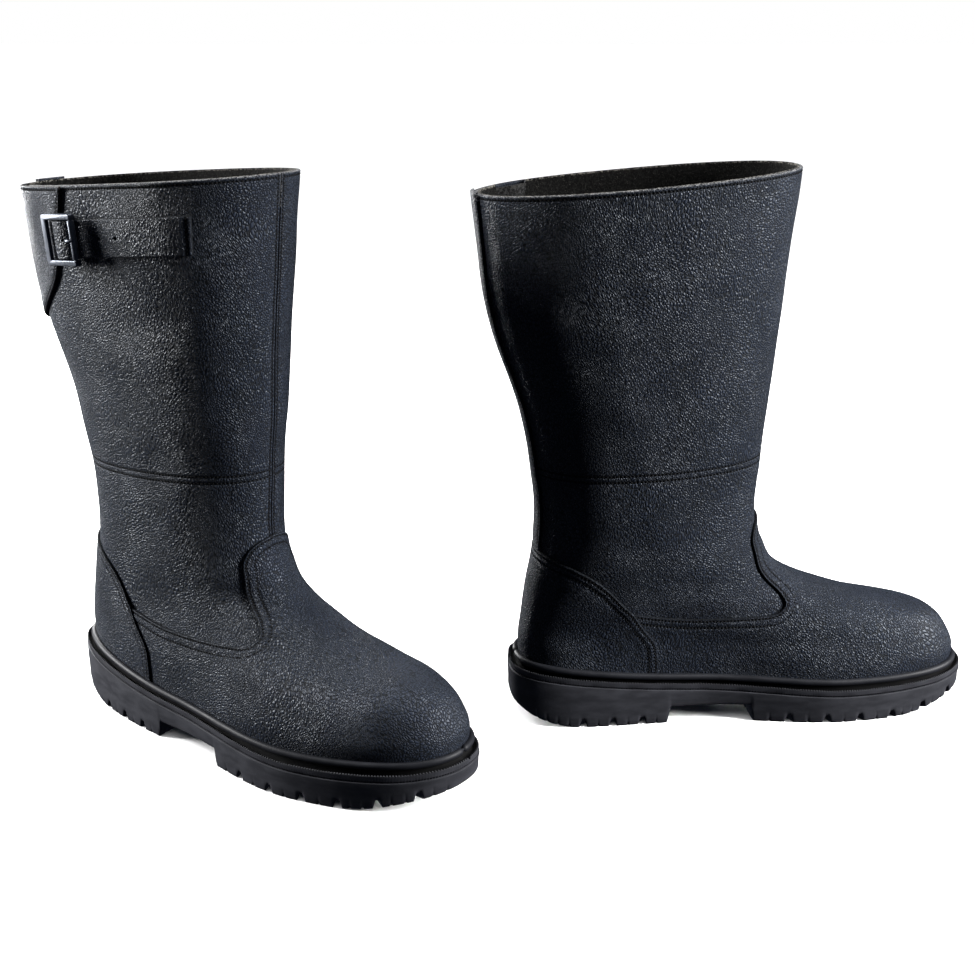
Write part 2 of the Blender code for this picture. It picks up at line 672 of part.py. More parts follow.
def make_strap(boot, leather, buckle):
    ahead = turn_lines(0.25, STRAP_FRONT_U)
    turns = np.array(sorted({*ahead, *np.linspace(STRAP_TAIL_U, 0.25, 15)}))
    levels = STRAP_LEVEL + np.linspace(-1, 1, 3) * STRAP_HALF_WIDTH
    base = surface(turns[None, :], levels[:, None]) - buckle.origin
    distance = base @ buckle.ahead
    rise = strap_rise(distance, -base @ buckle.out - BAR_OFFSET)
    points = layer(turns[None, :], levels[:, None], rise)
    item = boot.add("strap", grid_mesh("strap", points), leather)
    thicken(item, STRAP_THICKNESS)

    bm = bmesh.new()
    for place in STRAP_HOLES:
        u = float(np.interp(place, distance[1], turns))
        height = float(np.interp(place, distance[1], rise[1])) + STRAP_THICKNESS / 2
        centre = layer(u, STRAP_LEVEL, height)
        normal = Vector(outward(np.array(u), np.array(STRAP_LEVEL)))
        turn = Matrix.Translation(centre) @ normal.to_track_quat("Z", "Y").to_matrix().to_4x4()
        size = (STRAP_HOLE_RADIUS, STRAP_HOLE_RADIUS, 6 * MM, 1)
        if place == PRONG_HOLE:
            turn = buckle.matrix(place, 0, 2 * MM)
            size = (PRONG_HOLE_LENGTH, PRONG_HOLE_WIDTH, 12 * MM, 1)
        bmesh.ops.create_cone(
            bm, cap_ends=True, segments=8, radius1=1, radius2=1, depth=1,
            matrix=turn @ Matrix.Diagonal(size),
        )
    bmesh.ops.recalc_face_normals(bm, faces=bm.faces)
    boot.cut(item, boot.add("strap_holes", finish_mesh("strap_holes", bm), None, cutter=True))


def make_chape(boot, leather, buckle):
    """The short sewn strip that loops round the centre bar, slotted for the prong."""
    inner = BAR_RADIUS + BORE_PLAY
    outer = inner + CHAPE
    half = CHAPE_HALF_WIDTH
    loop = [(outer * math.sin(a), outer * math.cos(a)) for a in np.linspace(-0.5, math.pi, 9)]
    bore = [(inner * math.sin(a), inner * math.cos(a)) for a in np.linspace(math.pi, -0.5, 9)]
    tail = [(-CHAPE_LENGTH, -outer), (-CHAPE_LENGTH, -inner)]
    outline = [*loop, *tail, *bore]
    bm = bmesh.new()
    face = bm.faces.new([bm.verts.new((a, -half, o)) for a, o in outline])
    moved = bmesh.ops.extrude_face_region(bm, geom=[face])["geom"]
    lifted = [item for item in moved if isinstance(item, bmesh.types.BMVert)]
    bmesh.ops.translate(bm, verts=lifted, vec=(0, 2 * half, 0))
    bmesh.ops.transform(bm, matrix=buckle.matrix(), verts=bm.verts)
    bmesh.ops.recalc_face_normals(bm, faces=bm.faces)
    item = boot.add("buckle_chape", finish_mesh("buckle_chape", bm), leather)
    slot = box_mesh("prong_slot", (9 * MM, 4.4 * MM, 9 * MM), buckle.matrix(0.6 * MM, 0, 1 * MM))
    boot.cut(item, boot.add("prong_slot", slot, None, cutter=True))


def make_buckle(boot, metal, buckle):
    """A frame of two rails, a rear bar, a centre bar and a front pin that carries the roller."""
    middle = (FRAME_LOW + FRAME_TOP) / 2
    front = BUCKLE_FRONT + RAIL_NOSE
    centre = (front + BUCKLE_REAR) / 2
    rail_up = BUCKLE_HALF_HEIGHT - RAIL / 2
    rail = (front - BUCKLE_REAR, RAIL, FRAME_TOP - FRAME_LOW)
    mesh = box_mesh("buckle_frame", rail, buckle.matrix(centre, rail_up, middle))
    frame = boot.add("buckle_frame", mesh, metal, buckle.origin)
    rear_size = (REAR_BAR_WIDTH, 2 * rail_up, REAR_BAR_DEPTH)
    rear_at = buckle.matrix(BUCKLE_REAR + REAR_BAR_WIDTH / 2, 0, FRAME_TOP - REAR_BAR_DEPTH / 2)
    pin_at = buckle.matrix(BUCKLE_FRONT, 0, PIN_HEIGHT)
    span = 2 * rail_up
    additions = [
        ("rail", box_mesh("rail", rail, buckle.matrix(centre, -rail_up, middle))),
        ("rear_bar", box_mesh("rear_bar", rear_size, rear_at)),
        ("front_pin", rod_mesh("front_pin", ROLLER_PIN, span, pin_at)),
        ("centre_bar", rod_mesh("centre_bar", BAR_RADIUS, span, buckle.matrix())),
    ]
    for name, mesh in additions:
        cutter = boot.add("buckle_" + name, mesh, None, buckle.origin, cutter=True)
        modifier = frame.modifiers.new(name, "BOOLEAN")
        modifier.operation = "UNION"
        modifier.object = cutter
    roller_axis = buckle.point(BUCKLE_FRONT, 0, PIN_HEIGHT)
    length = span - RAIL - 2 * ROLLER_PLAY
    roller = tube_mesh("buckle_roller", ROLLER_RADIUS, ROLLER_BORE, length, pin_at)
    boot.add("buckle_roller", roller, metal, roller_axis)


def make_prong(boot, metal, buckle):
    """An eye round the centre bar and a shank that passes up through the strap to the roller."""
    eye = tube_mesh("buckle_prong", EYE_RADIUS, BAR_RADIUS + BORE_PLAY, EYE_LENGTH, buckle.matrix())
    prong = boot.add("buckle_prong", eye, metal, buckle.origin)
    route = ((1.95, 0.2), (4.4, 1.1), (6.7, 3.8), (8.9, 5.9), (11.6, 6.5), (13.8, 6.2))
    curve = bpy.data.curves.new("shank", "CURVE")
    curve.dimensions = "3D"
    curve.bevel_depth = PRONG_RADIUS
    curve.bevel_resolution = 1
    curve.use_fill_caps = True
    spline = curve.splines.new("POLY")
    spline.points.add(len(route) - 1)
    for target, (ahead, out) in zip(spline.points, route):
        target.co = (*buckle.point(ahead * MM, 0, out * MM), 1)
    holder = bpy.data.objects.new("shank", curve)
    bpy.context.scene.collection.objects.link(holder)
    graph = bpy.context.evaluated_depsgraph_get()
    mesh = bpy.data.meshes.new_from_object(holder.evaluated_get(graph))
    bpy.data.objects.remove(holder)
    bm = bmesh.new()
    bm.from_mesh(mesh)
    bmesh.ops.remove_doubles(bm, verts=bm.verts, dist=0.00002)
    bmesh.ops.recalc_face_normals(bm, faces=bm.faces)
    shank = boot.add("prong_shank", finish_mesh("prong_shank", bm), None, buckle.origin, cutter=True)
    modifier = prong.modifiers.new("shank", "BOOLEAN")
    modifier.operation = "UNION"
    modifier.object = shank


# ---------------------------------------------------------------- the pair
def make_boot(boot):
    leather = material("leather", (0.018, 0.021, 0.030), 0.5)
    strap_leather = material("strap_leather", (0.020, 0.023, 0.032), 0.45)
    felt = material("felt", (0.025, 0.025, 0.026), 0.95)
    canvas = material("canvas", (0.35, 0.33, 0.30), 0.9)
    rubber = material("rubber", (0.018, 0.018, 0.020), 0.6)
    steel = material("steel", (0.5, 0.5, 0.5), 0.35, 1.0)
    board = material("board", (0.45, 0.36, 0.25), 0.9)
    foam = material("foam", (0.06, 0.06, 0.065), 0.95)
    metal = material("buckle_metal", (0.16, 0.18, 0.20), 0.4, 0.6)

    make_sole(boot, rubber, steel, board, foam)
    make_bead(boot, rubber)
    shaft_lining = make_linings(boot, felt, canvas)
    make_reinforcements(boot, steel, board)
    make_foot_leather(boot, leather)
    lateral_panel = make_shaft_leather(boot, leather)
    make_back_stay(boot, leather)
    make_flap(boot, leather)
    slit = slit_cutter(boot)
    boot.cut(lateral_panel, slit)
    boot.cut(shaft_lining, slit)
    make_gusset(boot, leather)
    buckle = BuckleFrame()
    make_strap(boot, strap_leather, buckle)
    make_chape(boot, strap_leather, buckle)
    make_buckle(boot, metal, buckle)
    make_prong(boot, metal, buckle)


def centre_pair(boots, parts):
    """Moves both boots so that the origin is the bottom centre of the pair's box."""
    bpy.context.view_layer.update()
    graph = bpy.context.evaluated_depsgraph_get()
    low, high = Vector((1e9,) * 3), Vector((-1e9,) * 3)
    for item in parts.objects:
        if item.type == "EMPTY":
            continue
        shape = item.evaluated_get(graph)
        for corner in shape.to_mesh().vertices:
            point = item.matrix_world @ corner.co
            low = Vector(map(min, low, point))
            high = Vector(map(max, high, point))
        shape.to_mesh_clear()
    shift = Vector(((low.x + high.x) / 2, (low.y + high.y) / 2, low.z))
    for boot in boots:
        boot.root.location -= shift
    bpy.context.view_layer.update()


def main():
    clear_scene()
    parts = new_collection("fire_boots")
    cutters = new_collection("cutters")
    cutters.hide_render = True
    boots = (
        Boot("right", RIGHT_PLACE, True, parts, cutters),
        Boot("left", LEFT_PLACE, False, parts, cutters),
    )
    for boot in boots:
        make_boot(boot)
    centre_pair(boots, parts)


main()
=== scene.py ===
"""The looks of a pair of fire boots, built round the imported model.

Each boot is made in its own frame (x from the back of the heel to the toe, y to the outer side of
the leg, z up) and placed by its two tread mounts; the right boot is the mirror image of the left.
The upper follows the inner surface that its CAD layers follow. A point on it has u, the turn round
the leg (0 at the heel seam, 0.5 at the front, outer side first), and v, the level in metres.
"""
import json
import math
from collections import namedtuple

import bmesh
import bpy
import numpy as np
from mathutils import Matrix, Vector
from mathutils.kdtree import KDTree


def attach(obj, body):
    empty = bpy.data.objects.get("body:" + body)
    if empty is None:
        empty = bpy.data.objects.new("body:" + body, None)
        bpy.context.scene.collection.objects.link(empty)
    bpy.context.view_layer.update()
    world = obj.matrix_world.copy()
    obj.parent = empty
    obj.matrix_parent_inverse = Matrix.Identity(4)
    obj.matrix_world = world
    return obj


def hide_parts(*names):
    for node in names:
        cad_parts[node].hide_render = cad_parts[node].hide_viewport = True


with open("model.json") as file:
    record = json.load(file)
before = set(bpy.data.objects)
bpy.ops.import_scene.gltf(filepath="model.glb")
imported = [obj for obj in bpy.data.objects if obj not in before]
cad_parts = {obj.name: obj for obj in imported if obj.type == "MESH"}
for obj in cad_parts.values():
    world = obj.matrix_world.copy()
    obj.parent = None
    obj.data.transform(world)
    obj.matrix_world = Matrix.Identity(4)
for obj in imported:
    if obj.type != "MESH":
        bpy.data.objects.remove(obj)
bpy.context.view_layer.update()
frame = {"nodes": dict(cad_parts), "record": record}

MM = 0.001

# ---------------------------------------------------------------- dimensions, as in the CAD model
SOLE_LENGTH = 300 * MM
HEEL_HALF_WIDTH = 39.5 * MM
BALL_HALF_WIDTH = 53 * MM
FOOT_BOW = 10.7 * MM
HEEL_BREAST = 98 * MM
FOREPART_START = 151 * MM
BREAST_SLOPE = 2.5 * MM
ARCH_HEIGHT = 11 * MM
MIDSOLE_HEIGHT = 6.5 * MM
NOTCHES = tuple(x * MM for x in (44, 63, 82, 175, 199, 221, 243, 265, 285))
NOTCH_WIDTH = 5.6 * MM
NOTCH_HEIGHT = 5 * MM
FEATHER_GAP = 1.2 * MM

STRAP_LEVEL = 312 * MM
STRAP_HALF_WIDTH = 11.2 * MM
STRAP_THICKNESS = 1.8 * MM
STRAP_FRONT_U = 0.372
STRAP_TAIL_U = 0.194
STRAP_HOLE_RADIUS = 1.1 * MM
PRONG_HOLE = 6.8 * MM
STRAP_HOLES = (24.5 * MM, 36.5 * MM)
BUCKLE_U = 0.225
BUCKLE_HALF_HEIGHT = 14.9 * MM
BUCKLE_REAR = -13.6 * MM
BUCKLE_FRONT = 11.6 * MM
RAIL = 3.2 * MM
REAR_BAR_WIDTH = 4 * MM
BAR_RADIUS = 1.3 * MM
BAR_OFFSET = 8.7 * MM
FRAME_LOW = 0.6 * MM
FRAME_TOP = 4.8 * MM
REAR_BAR_DEPTH = 2.5 * MM
ROLLER_RADIUS = 2.0 * MM
ROLLER_BORE = 1.4 * MM
ROLLER_PIN = 1.1 * MM
PIN_OUT = 2.7 * MM

# Heights along the sole, and seams on the upper: (x, z) and (u, v) in millimetres
WELT_LINE = ((0, 40), (50, 34), (98, 29.5), (160, 26), (220, 24), (270, 25.5), (300, 28.5))
TREAD_LINE = (
    (0, 14), (8, 9.5), (16, 5.5), (28, 1.8), (42, 0), (240, 0), (258, 1.6), (278, 6.2), (300, 12.5),
)
COUNTER_EDGE = ((0, 114.5), (0.05, 112.7), (0.12, 108), (0.16, 101), (0.185, 92), (0.203, 78))
VAMP_EDGE = (
    (0.203, 77), (0.25, 73.5), (0.31, 73.5), (0.35, 77), (0.38, 82.5), (0.402, 91.5), (0.414, 103),
    (0.424, 116), (0.445, 125), (0.47, 128.5), (0.5, 130),
)
SHAFT_HEM = (
    (0, 107.5), (0.05, 105.7), (0.12, 101), (0.16, 93), (0.185, 84), (0.207, 70.5),
    (0.25, 67), (0.31, 67), (0.36, 70), (0.40, 84), (0.45, 98), (0.5, 102),
)
FLAP_EDGE = (
    (0.03, 254.5), (0.09, 260.5), (0.13, 266.5), (0.156, 273.5), (0.172, 279.5), (0.186, 286.5),
    (0.196, 296), (0.2075, 314), (0.2225, 342),
)
COUNTER_FRONT_U = 0.203
LINING_SEAM = 122 * MM
SLIT_TIP = (0.105, 272 * MM)
SLIT_TOP_U = (0.085, 0.145)
SHAFT_SEAM = 168 * MM

# ---------------------------------------------------------------- dimensions of the visible layers
FELT = (0.1 * MM, 1.66 * MM)
SHAFT_TOP = 3.6 * MM
SHAFT_THICKNESS = 1.9 * MM
OVERLAY_FAR = 6.1 * MM
OVERLAY_NEAR = 5.6 * MM
OVERLAY_THICKNESS = 1.5 * MM
COUNTER_LAP = 1.0 * MM
STAY_TOP = 5.9 * MM
STAY_CREST = 1.6 * MM
FLAP_TOP = 5.4 * MM
FLAP_LIFT = 0.7 * MM
EDGE_ROLL = 0.8 * MM
SEAM_DIP = 0.55 * MM
SEAM_HALF_WIDTH = 0.8 * MM
EDGE_REACH = 8 * MM
SEAM_REACH = 3 * MM
STITCH_PITCH = 2.2 * MM
STITCH_LENGTH = 1.5 * MM
THREAD_RADIUS = 0.48 * MM
BEAD_RADIUS = 2.0 * MM
TOOTH_PITCH = 1.65 * MM
GRID_STEP = 2.2 * MM
LINE_STEP = 0.6 * MM
SHAFT_GIRTH = 340 * MM
FINE_MARKS = tuple(x * MM for x in (0.15, 0.4, 0.8, 1.3, 1.8, 2.4, 3.2, 4.2, 5.2, 6.0, 6.8, 8, 10))
TO_EDGE = np.array((*FINE_MARKS[::-1], 0))[:, None]


# ---------------------------------------------------------------- the inner surface
Loop = namedtuple("Loop", "level x_back z_back x_front z_front heel ball foot")


def smooth_step(low, high, x):
    t = np.clip((x - low) / (high - low), 0, 1)
    return t * t * (3 - 2 * t)


def cubic(t, step, start, leave, end, arrive):
    """Between two values at t from 0 to 1, with the rates of change that it leaves and arrives with."""
    return (
        (2 * t**3 - 3 * t**2 + 1) * start
        + (t**3 - 2 * t**2 + t) * step * leave
        + (3 * t**2 - 2 * t**3) * end
        + (t**3 - t**2) * step * arrive
    )


def line_through(points, x):
    """A curve through (x, y) points with no overshoot between them."""
    xs, ys = (np.array(values, float) for values in zip(*points))
    step = np.diff(xs)
    slope = np.diff(ys) / step
    rate = np.zeros(len(xs))
    rate[0], rate[-1] = slope[0], slope[-1]
    for i in range(1, len(xs) - 1):
        if slope[i - 1] * slope[i] > 0:
            rate[i] = 2 * slope[i - 1] * slope[i] / (slope[i - 1] + slope[i])
    x = np.clip(np.asarray(x, float), xs[0], xs[-1])
    i = np.clip(np.searchsorted(xs, x, side="right") - 1, 0, len(xs) - 2)
    t = (x - xs[i]) / step[i]
    return cubic(t, step[i], ys[i], rate[i], ys[i + 1], rate[i + 1])


def welt_height(x):
    return line_through(WELT_LINE, np.asarray(x) / MM) * MM


def oval(u, heel_power, toe_power):
    """(s, width factor): where turn u falls between the back and the front of a rounded oval."""
    angle = 2 * math.pi * np.asarray(u, float)
    c, q = np.cos(angle), np.sin(angle)
    power = np.where(c > 0, heel_power, toe_power)
    s = (1 - np.sign(c) * np.abs(c) ** (2 / power)) / 2
    return s, np.sign(q) * np.abs(q) ** (2 / power)


def bow(s):
    return FOOT_BOW * np.sin(math.pi * np.clip(s, 0, 1))


def feather_loop():
    x_back, x_front = 12.5, 287.0
    clear = FEATHER_GAP / MM
    z_back = float(welt_height(x_back * MM)) / MM + clear
    z_front = float(welt_height(x_front * MM)) / MM + clear
    return Loop(33, x_back, z_back, x_front, z_front, 30.5, 41, 1.0)


# From the feather edge at the sole up to the rim, in millimetres
LOOPS = (
    feather_loop(),
    Loop(47, 12.5, 52, 286.0, 41.5, 31.0, 41.5, 1.0),
    Loop(60, 13.5, 62, 270.0, 57.5, 31.0, 36.5, 0.9),
    Loop(71, 15.0, 74, 226.0, 67.5, 31.5, 33.0, 0.65),
    Loop(87, 17.5, 90, 177.0, 86.0, 32.0, 33.0, 0.3),
    Loop(110, 20.5, 109, 156.0, 112.0, 34.0, 34.5, 0.1),
    Loop(130, 22.0, 129, 152.0, 131.0, 35.5, 35.5, 0.0),
    Loop(167, 19.0, 164, 154.5, 170.0, 36.5, 36.5, 0.0),
    Loop(204, 12.5, 200, 157.5, 208.0, 40.0, 40.0, 0.0),
    Loop(263, -6.5, 257, 162.5, 269.0, 46.5, 46.5, 0.0),
    Loop(342, -18.0, 334.5, 170.0, 349.5, 53.0, 53.0, 0.0),
)
LEVELS = np.array([loop.level for loop in LOOPS]) * MM
RIM = LEVELS[-1]
RIM_SEAM = RIM - 2.2 * MM
FEATHER = LEVELS[0]


def loop_points(loop, u):
    s, side = oval(u, 2.2 + 0.7 * loop.foot, 2.2 + 0.2 * loop.foot)
    half = loop.heel + (loop.ball - loop.heel) * smooth_step(0.38, 0.72, s)
    x = (loop.x_back + s * (loop.x_front - loop.x_back)) * MM
    low, high = welt_height(loop.x_back * MM), welt_height(loop.x_front * MM)
    sag = welt_height(x) - (low + s * (high - low))
    z = (loop.z_back + s * (loop.z_front - loop.z_back)) * MM + loop.foot * sag
    return np.stack([x, half * MM * side + loop.foot * bow(s), z], -1)


def surface(u, v):
    """Points of the inner surface, a smooth curve up through the loops for each turn u."""
    u, v = np.broadcast_arrays(np.asarray(u, float), np.asarray(v, float))
    rings = np.stack([loop_points(loop, u) for loop in LOOPS])
    step = np.diff(LEVELS).reshape((-1,) + (1,) * (rings.ndim - 1))
    slope = np.diff(rings, axis=0) / step
    rate = np.empty_like(rings)
    rate[0], rate[-1] = slope[0], slope[-1]
    rate[1:-1] = (slope[:-1] * step[1:] + slope[1:] * step[:-1]) / (step[1:] + step[:-1])
    i = np.clip(np.searchsorted(LEVELS, v, side="right") - 1, 0, len(LEVELS) - 2)
    height = np.diff(LEVELS)[i][..., None]
    t = (v - LEVELS[i])[..., None] / height

    def pick(values, index):
        return np.take_along_axis(values, index[None, ..., None], 0)[0]

    return cubic(t, height, pick(rings, i), pick(rate, i), pick(rings, i + 1), pick(rate, i + 1))


def unit(vectors):
    return vectors / np.linalg.norm(vectors, axis=-1, keepdims=True)


def tangents(u, v):
    """How far a point of the surface moves for each turn and for each metre of level."""
    turn, rise = 0.0005, 0.4 * MM
    low, high = np.clip(v - rise, FEATHER, RIM), np.clip(v + rise, FEATHER, RIM)
    along = (surface(u + turn, v) - surface(u - turn, v)) / (2 * turn)
    up = (surface(u, high) - surface(u, low)) / (high - low)[..., None]
    return along, up


def outward(u, v):
    along, up = tangents(u, v)
    return unit(np.cross(up, along))


# ---------------------------------------------------------------- lines on the surface
def mirrored_level(points, u):
    """The level of a seam that is the same on both sides of the boot."""
    folded = 0.5 - np.abs(np.mod(u, 1) - 0.5)
    return line_through(points, folded) * MM


def uv_line(u, v):
    """A line of (u, v), in which either may stay the same."""
    return np.stack(np.broadcast_arrays(u, v), -1)


def on_surface(line):
    """The points of a line of (u, v)."""
    return surface(line[:, 0], line[:, 1])


def run_along(places):
    """How far along a row of points each one is."""
    return np.concatenate([[0], np.cumsum(np.linalg.norm(np.diff(places, axis=0), axis=1))])


def respaced(line, spacing):
    """A line of (u, v) with even steps along the surface."""
    run = run_along(on_surface(line))
    stops = np.linspace(0, run[-1], max(int(run[-1] / spacing), 2) + 1)
    return np.stack([np.interp(stops, run, line[:, k]) for k in (0, 1)], -1)


def distance_to(points, line):
    """The distance of each point from a line of points."""
    tree = KDTree(len(line))
    for i, place in enumerate(line):
        tree.insert(place, i)
    tree.balance()
    near = np.array([tree.find(place)[1] for place in points])
    best = np.full(len(points), np.inf)
    for shift in (-1, 0):
        i = np.clip(near + shift, 0, len(line) - 2)
        start, step = line[i], line[i + 1] - line[i]
        share = ((points - start) * step).sum(-1) / np.maximum((step * step).sum(-1), 1e-14)
        gap = points - start - np.clip(share, 0, 1)[:, None] * step
        best = np.minimum(best, np.linalg.norm(gap, axis=1))
    return best


def inset(line, distance):
    """A line moved across the surface, to its left as it is seen from outside."""
    u, v = line[:, 0].copy(), line[:, 1].copy()
    place = surface(u, v)
    heading = unit(np.gradient(place, axis=0))
    target = place - distance * np.cross(heading, outward(u, v))
    for _ in range(3):
        along, up = tangents(u, v)
        move = target - surface(u, v)
        aa, ab, bb = (along * along).sum(-1), (along * up).sum(-1), (up * up).sum(-1)
        am, bm = (along * move).sum(-1), (up * move).sum(-1)
        scale = aa * bb - ab * ab
        u = u + (bb * am - ab * bm) / scale
        v = np.clip(v + (aa * bm - ab * am) / scale, FEATHER, RIM)
    clear = distance_to(surface(u, v), place) > 0.95 * abs(distance)
    return np.stack([u, v], -1)[clear]


def level_line(first, last, level):
    return respaced(uv_line(np.linspace(first, last, 400), level), LINE_STEP)


def rising_line(turn_at, low, high):
    v = np.linspace(low, high, 400)
    return respaced(uv_line(turn_at(v), v), LINE_STEP)


def upright_line(turn, low, high):
    return rising_line(lambda level: turn, low, high)


# ---------------------------------------------------------------- scene helpers
def in_scene(name, data):
    item = bpy.data.objects.new(name, data)
    bpy.context.scene.collection.objects.link(item)
    return item


class Boot:
    """One boot: its name prefix, where it stands, and the random waves of its leather."""

    def __init__(self, prefix, mirrored, seed):
        self.prefix = prefix
        self.mirrored = mirrored
        self.body = prefix + "_boot"
        self.matrix = self.placing()
        rng = np.random.default_rng(seed)
        count = 16
        self.wavelength = rng.uniform(24, 85, count) * MM
        self.waves = unit(rng.normal(size=(count, 3))) * 2 * math.pi / self.wavelength[:, None]
        self.phase = rng.uniform(0, 2 * math.pi, count)

    def placing(self):
        """The boot's place, from where its tread mounts are in the boot and in the row."""
        side = -1 if self.mirrored else 1
        local = [Vector((70 * MM, side * 5 * MM, 0)), Vector((195 * MM, side * 7 * MM, 0))]
        mounts = {m["name"]: Vector(m["pos_m"]) for m in frame["record"]["mounts"]}
        placed = [mounts[self.prefix + name] for name in ("_heel_tread", "_forefoot_tread")]
        before, after = local[1] - local[0], placed[1] - placed[0]
        turn = math.atan2(after.y, after.x) - math.atan2(before.y, before.x)
        rotation = Matrix.Rotation(turn, 4, "Z")
        return Matrix.Translation(placed[0] - rotation @ local[0]) @ rotation

    def place(self, points):
        points = np.array(points, float).reshape(-1, 3)
        if self.mirrored:
            points = points * (1, -1, 1)
        matrix = np.array(self.matrix)
        return points @ matrix[:3, :3].T + matrix[:3, 3]

    def relief(self, points):
        """Slow waves of the leather's surface, in metres, which die out at the sole."""
        size = self.wavelength * 0.0016
        waves = np.sin(points @ self.waves.T + self.phase) * size
        fade = smooth_step(38 * MM, 62 * MM, points[..., 2])
        return waves.sum(-1) * fade

    def add(self, name, points, faces, paint, replaces=(), slot=None, body=None, sharp=42, **values):
        """A piece from points in the boot's frame, which rides on a body and stands for CAD nodes."""
        if self.mirrored:
            faces = [face[::-1] for face in faces]
        mesh = bpy.data.meshes.new(f"{self.prefix}_{name}")
        mesh.from_pydata(self.place(points).tolist(), [], faces)
        for key, numbers in values.items():
            layer = mesh.attributes.new(key, "FLOAT", "POINT")
            layer.data.foreach_set("value", np.asarray(numbers, np.float32).ravel())
        mesh.validate()
        mesh.shade_smooth()
        mesh.set_sharp_from_angle(angle=math.radians(sharp))
        mesh.materials.append(paint)
        item = in_scene(mesh.name, mesh)
        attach(item, body or self.body)
        if replaces:
            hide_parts(*(f"{self.prefix}_{node}" for node in replaces))
        return item


def grid_quads(rows, columns, wrap=False, skip=None):
    """Faces between neighbouring rows and columns of points, except after a skipped column."""
    count = columns if wrap else columns - 1
    i, j = np.meshgrid(np.arange(rows - 1), np.arange(count), indexing="ij")
    i, j = i[j != skip], j[j != skip]
    k = (j + 1) % columns
    return np.stack([i * columns + j, (i + 1) * columns + j, (i + 1) * columns + k, i * columns + k], -1)


def closed_sheet(outer, inner, quads):
    """A sheet with thickness: its outer and inner faces, and a wall along every free edge."""
    count = len(outer)
    edges = np.concatenate([quads[:, [a, (a + 1) % 4]] for a in range(4)])
    forward = edges[:, 0].astype(np.int64) * count + edges[:, 1]
    backward = edges[:, 1].astype(np.int64) * count + edges[:, 0]
    free = edges[~np.isin(forward, backward)]
    walls = np.stack([free[:, 1], free[:, 0], free[:, 0] + count, free[:, 1] + count], -1)
    faces = np.concatenate([quads, quads[:, ::-1] + count, walls])
    used = np.unique(faces)
    index = np.zeros(2 * count, np.int64)
    index[used] = np.arange(len(used))
    points = np.concatenate([outer, inner])[used]
    return points, [list(dict.fromkeys(face)) for face in index[faces].tolist()], used


def spread(length, step, start=(), end=()):
    """Distances from 0 to length, fine at the ends and about a step apart between."""
    first = max(start, default=0)
    last = length - max(end, default=0)
    even = np.linspace(first, last, max(int(round((last - first) / step)), 1) + 1)
    return np.unique(np.round(np.concatenate([[0], start, even, length - np.array(end), [length]]), 7))


# ---------------------------------------------------------------- materials
class Nodes:
    """Short ways to add shader nodes."""

    def __init__(self, name):
        self.material = bpy.data.materials.new(name)
        self.material.use_nodes = True
        self.tree = self.material.node_tree
        self.shader = self.tree.nodes["Principled BSDF"]
        self.place = self.math_vector("SCALE", self.node("TexCoord").outputs["Object"], scale=1000)

    def link(self, source, target):
        if hasattr(source, "is_output"):
            self.tree.links.new(source, target)
        else:
            target.default_value = source

    def node(self, kind, *values, **settings):
        """A shader node with its settings, and with its first inputs filled in order."""
        node = self.tree.nodes.new("ShaderNode" + kind)
        for name, setting in settings.items():
            setattr(node, name, setting)
        for value, socket in zip(values, node.inputs):
            self.link(value, socket)
        return node

    def fill(self, node, **values):
        for name, value in values.items():
            self.link(value, node.inputs[name.replace("_", " ")])

    def math(self, operation, *values, clamp=False):
        return self.node("Math", *values, operation=operation, use_clamp=clamp).outputs[0]

    def times(self, first, second, clamp=False):
        return self.math("MULTIPLY", first, second, clamp=clamp)

    def plus(self, first, second):
        return self.math("ADD", first, second)

    def math_vector(self, operation, *values, scale=None):
        node = self.node("VectorMath", *values, operation=operation)
        if scale is not None:
            self.fill(node, Scale=scale)
        return node.outputs[0]

    def noise(self, scale, detail=2.0, roughness=0.5, place=None, colour=False):
        node = self.node("TexNoise", place or self.place)
        self.fill(node, Scale=scale, Detail=detail, Roughness=roughness)
        return node.outputs["Color" if colour else "Fac"]

    def cells(self, scale, feature="DISTANCE_TO_EDGE", place=None):
        node = self.node("TexVoronoi", place or self.place, feature=feature)
        self.fill(node, Scale=scale)
        return node.outputs["Distance"]

    def ramp(self, value, low, high, out_low=0.0, out_high=1.0):
        numbers = (value, low, high, out_low, out_high)
        return self.node("MapRange", *numbers, interpolation_type="SMOOTHSTEP").outputs[0]

    def mix(self, share, first, second):
        node = self.node("Mix", share, data_type="RGBA")
        for name, colour in (("A", first), ("B", second)):
            value = colour if hasattr(colour, "is_output") else (*colour, 1)
            self.link(value, [s for s in node.inputs if s.name == name and s.type == "RGBA"][0])
        return [s for s in node.outputs if s.type == "RGBA"][0]

    def attribute(self, name):
        return self.node("Attribute", attribute_name=name).outputs["Fac"]

    def bump(self, height, distance, normal=None):
        node = self.node("Bump")
        self.fill(node, Strength=1.0, Distance=distance, Height=height)
        if normal is not None:
            self.fill(node, Normal=normal)
        return node.outputs[0]

    def finish(self, colour, roughness, normal=None, **plain):
        self.fill(self.shader, Base_Color=colour, Roughness=roughness, **plain)
        if normal is not None:
            self.fill(self.shader, Normal=normal)
        return self.material


def shade(tone, factor):
    return tuple(c * factor for c in tone)


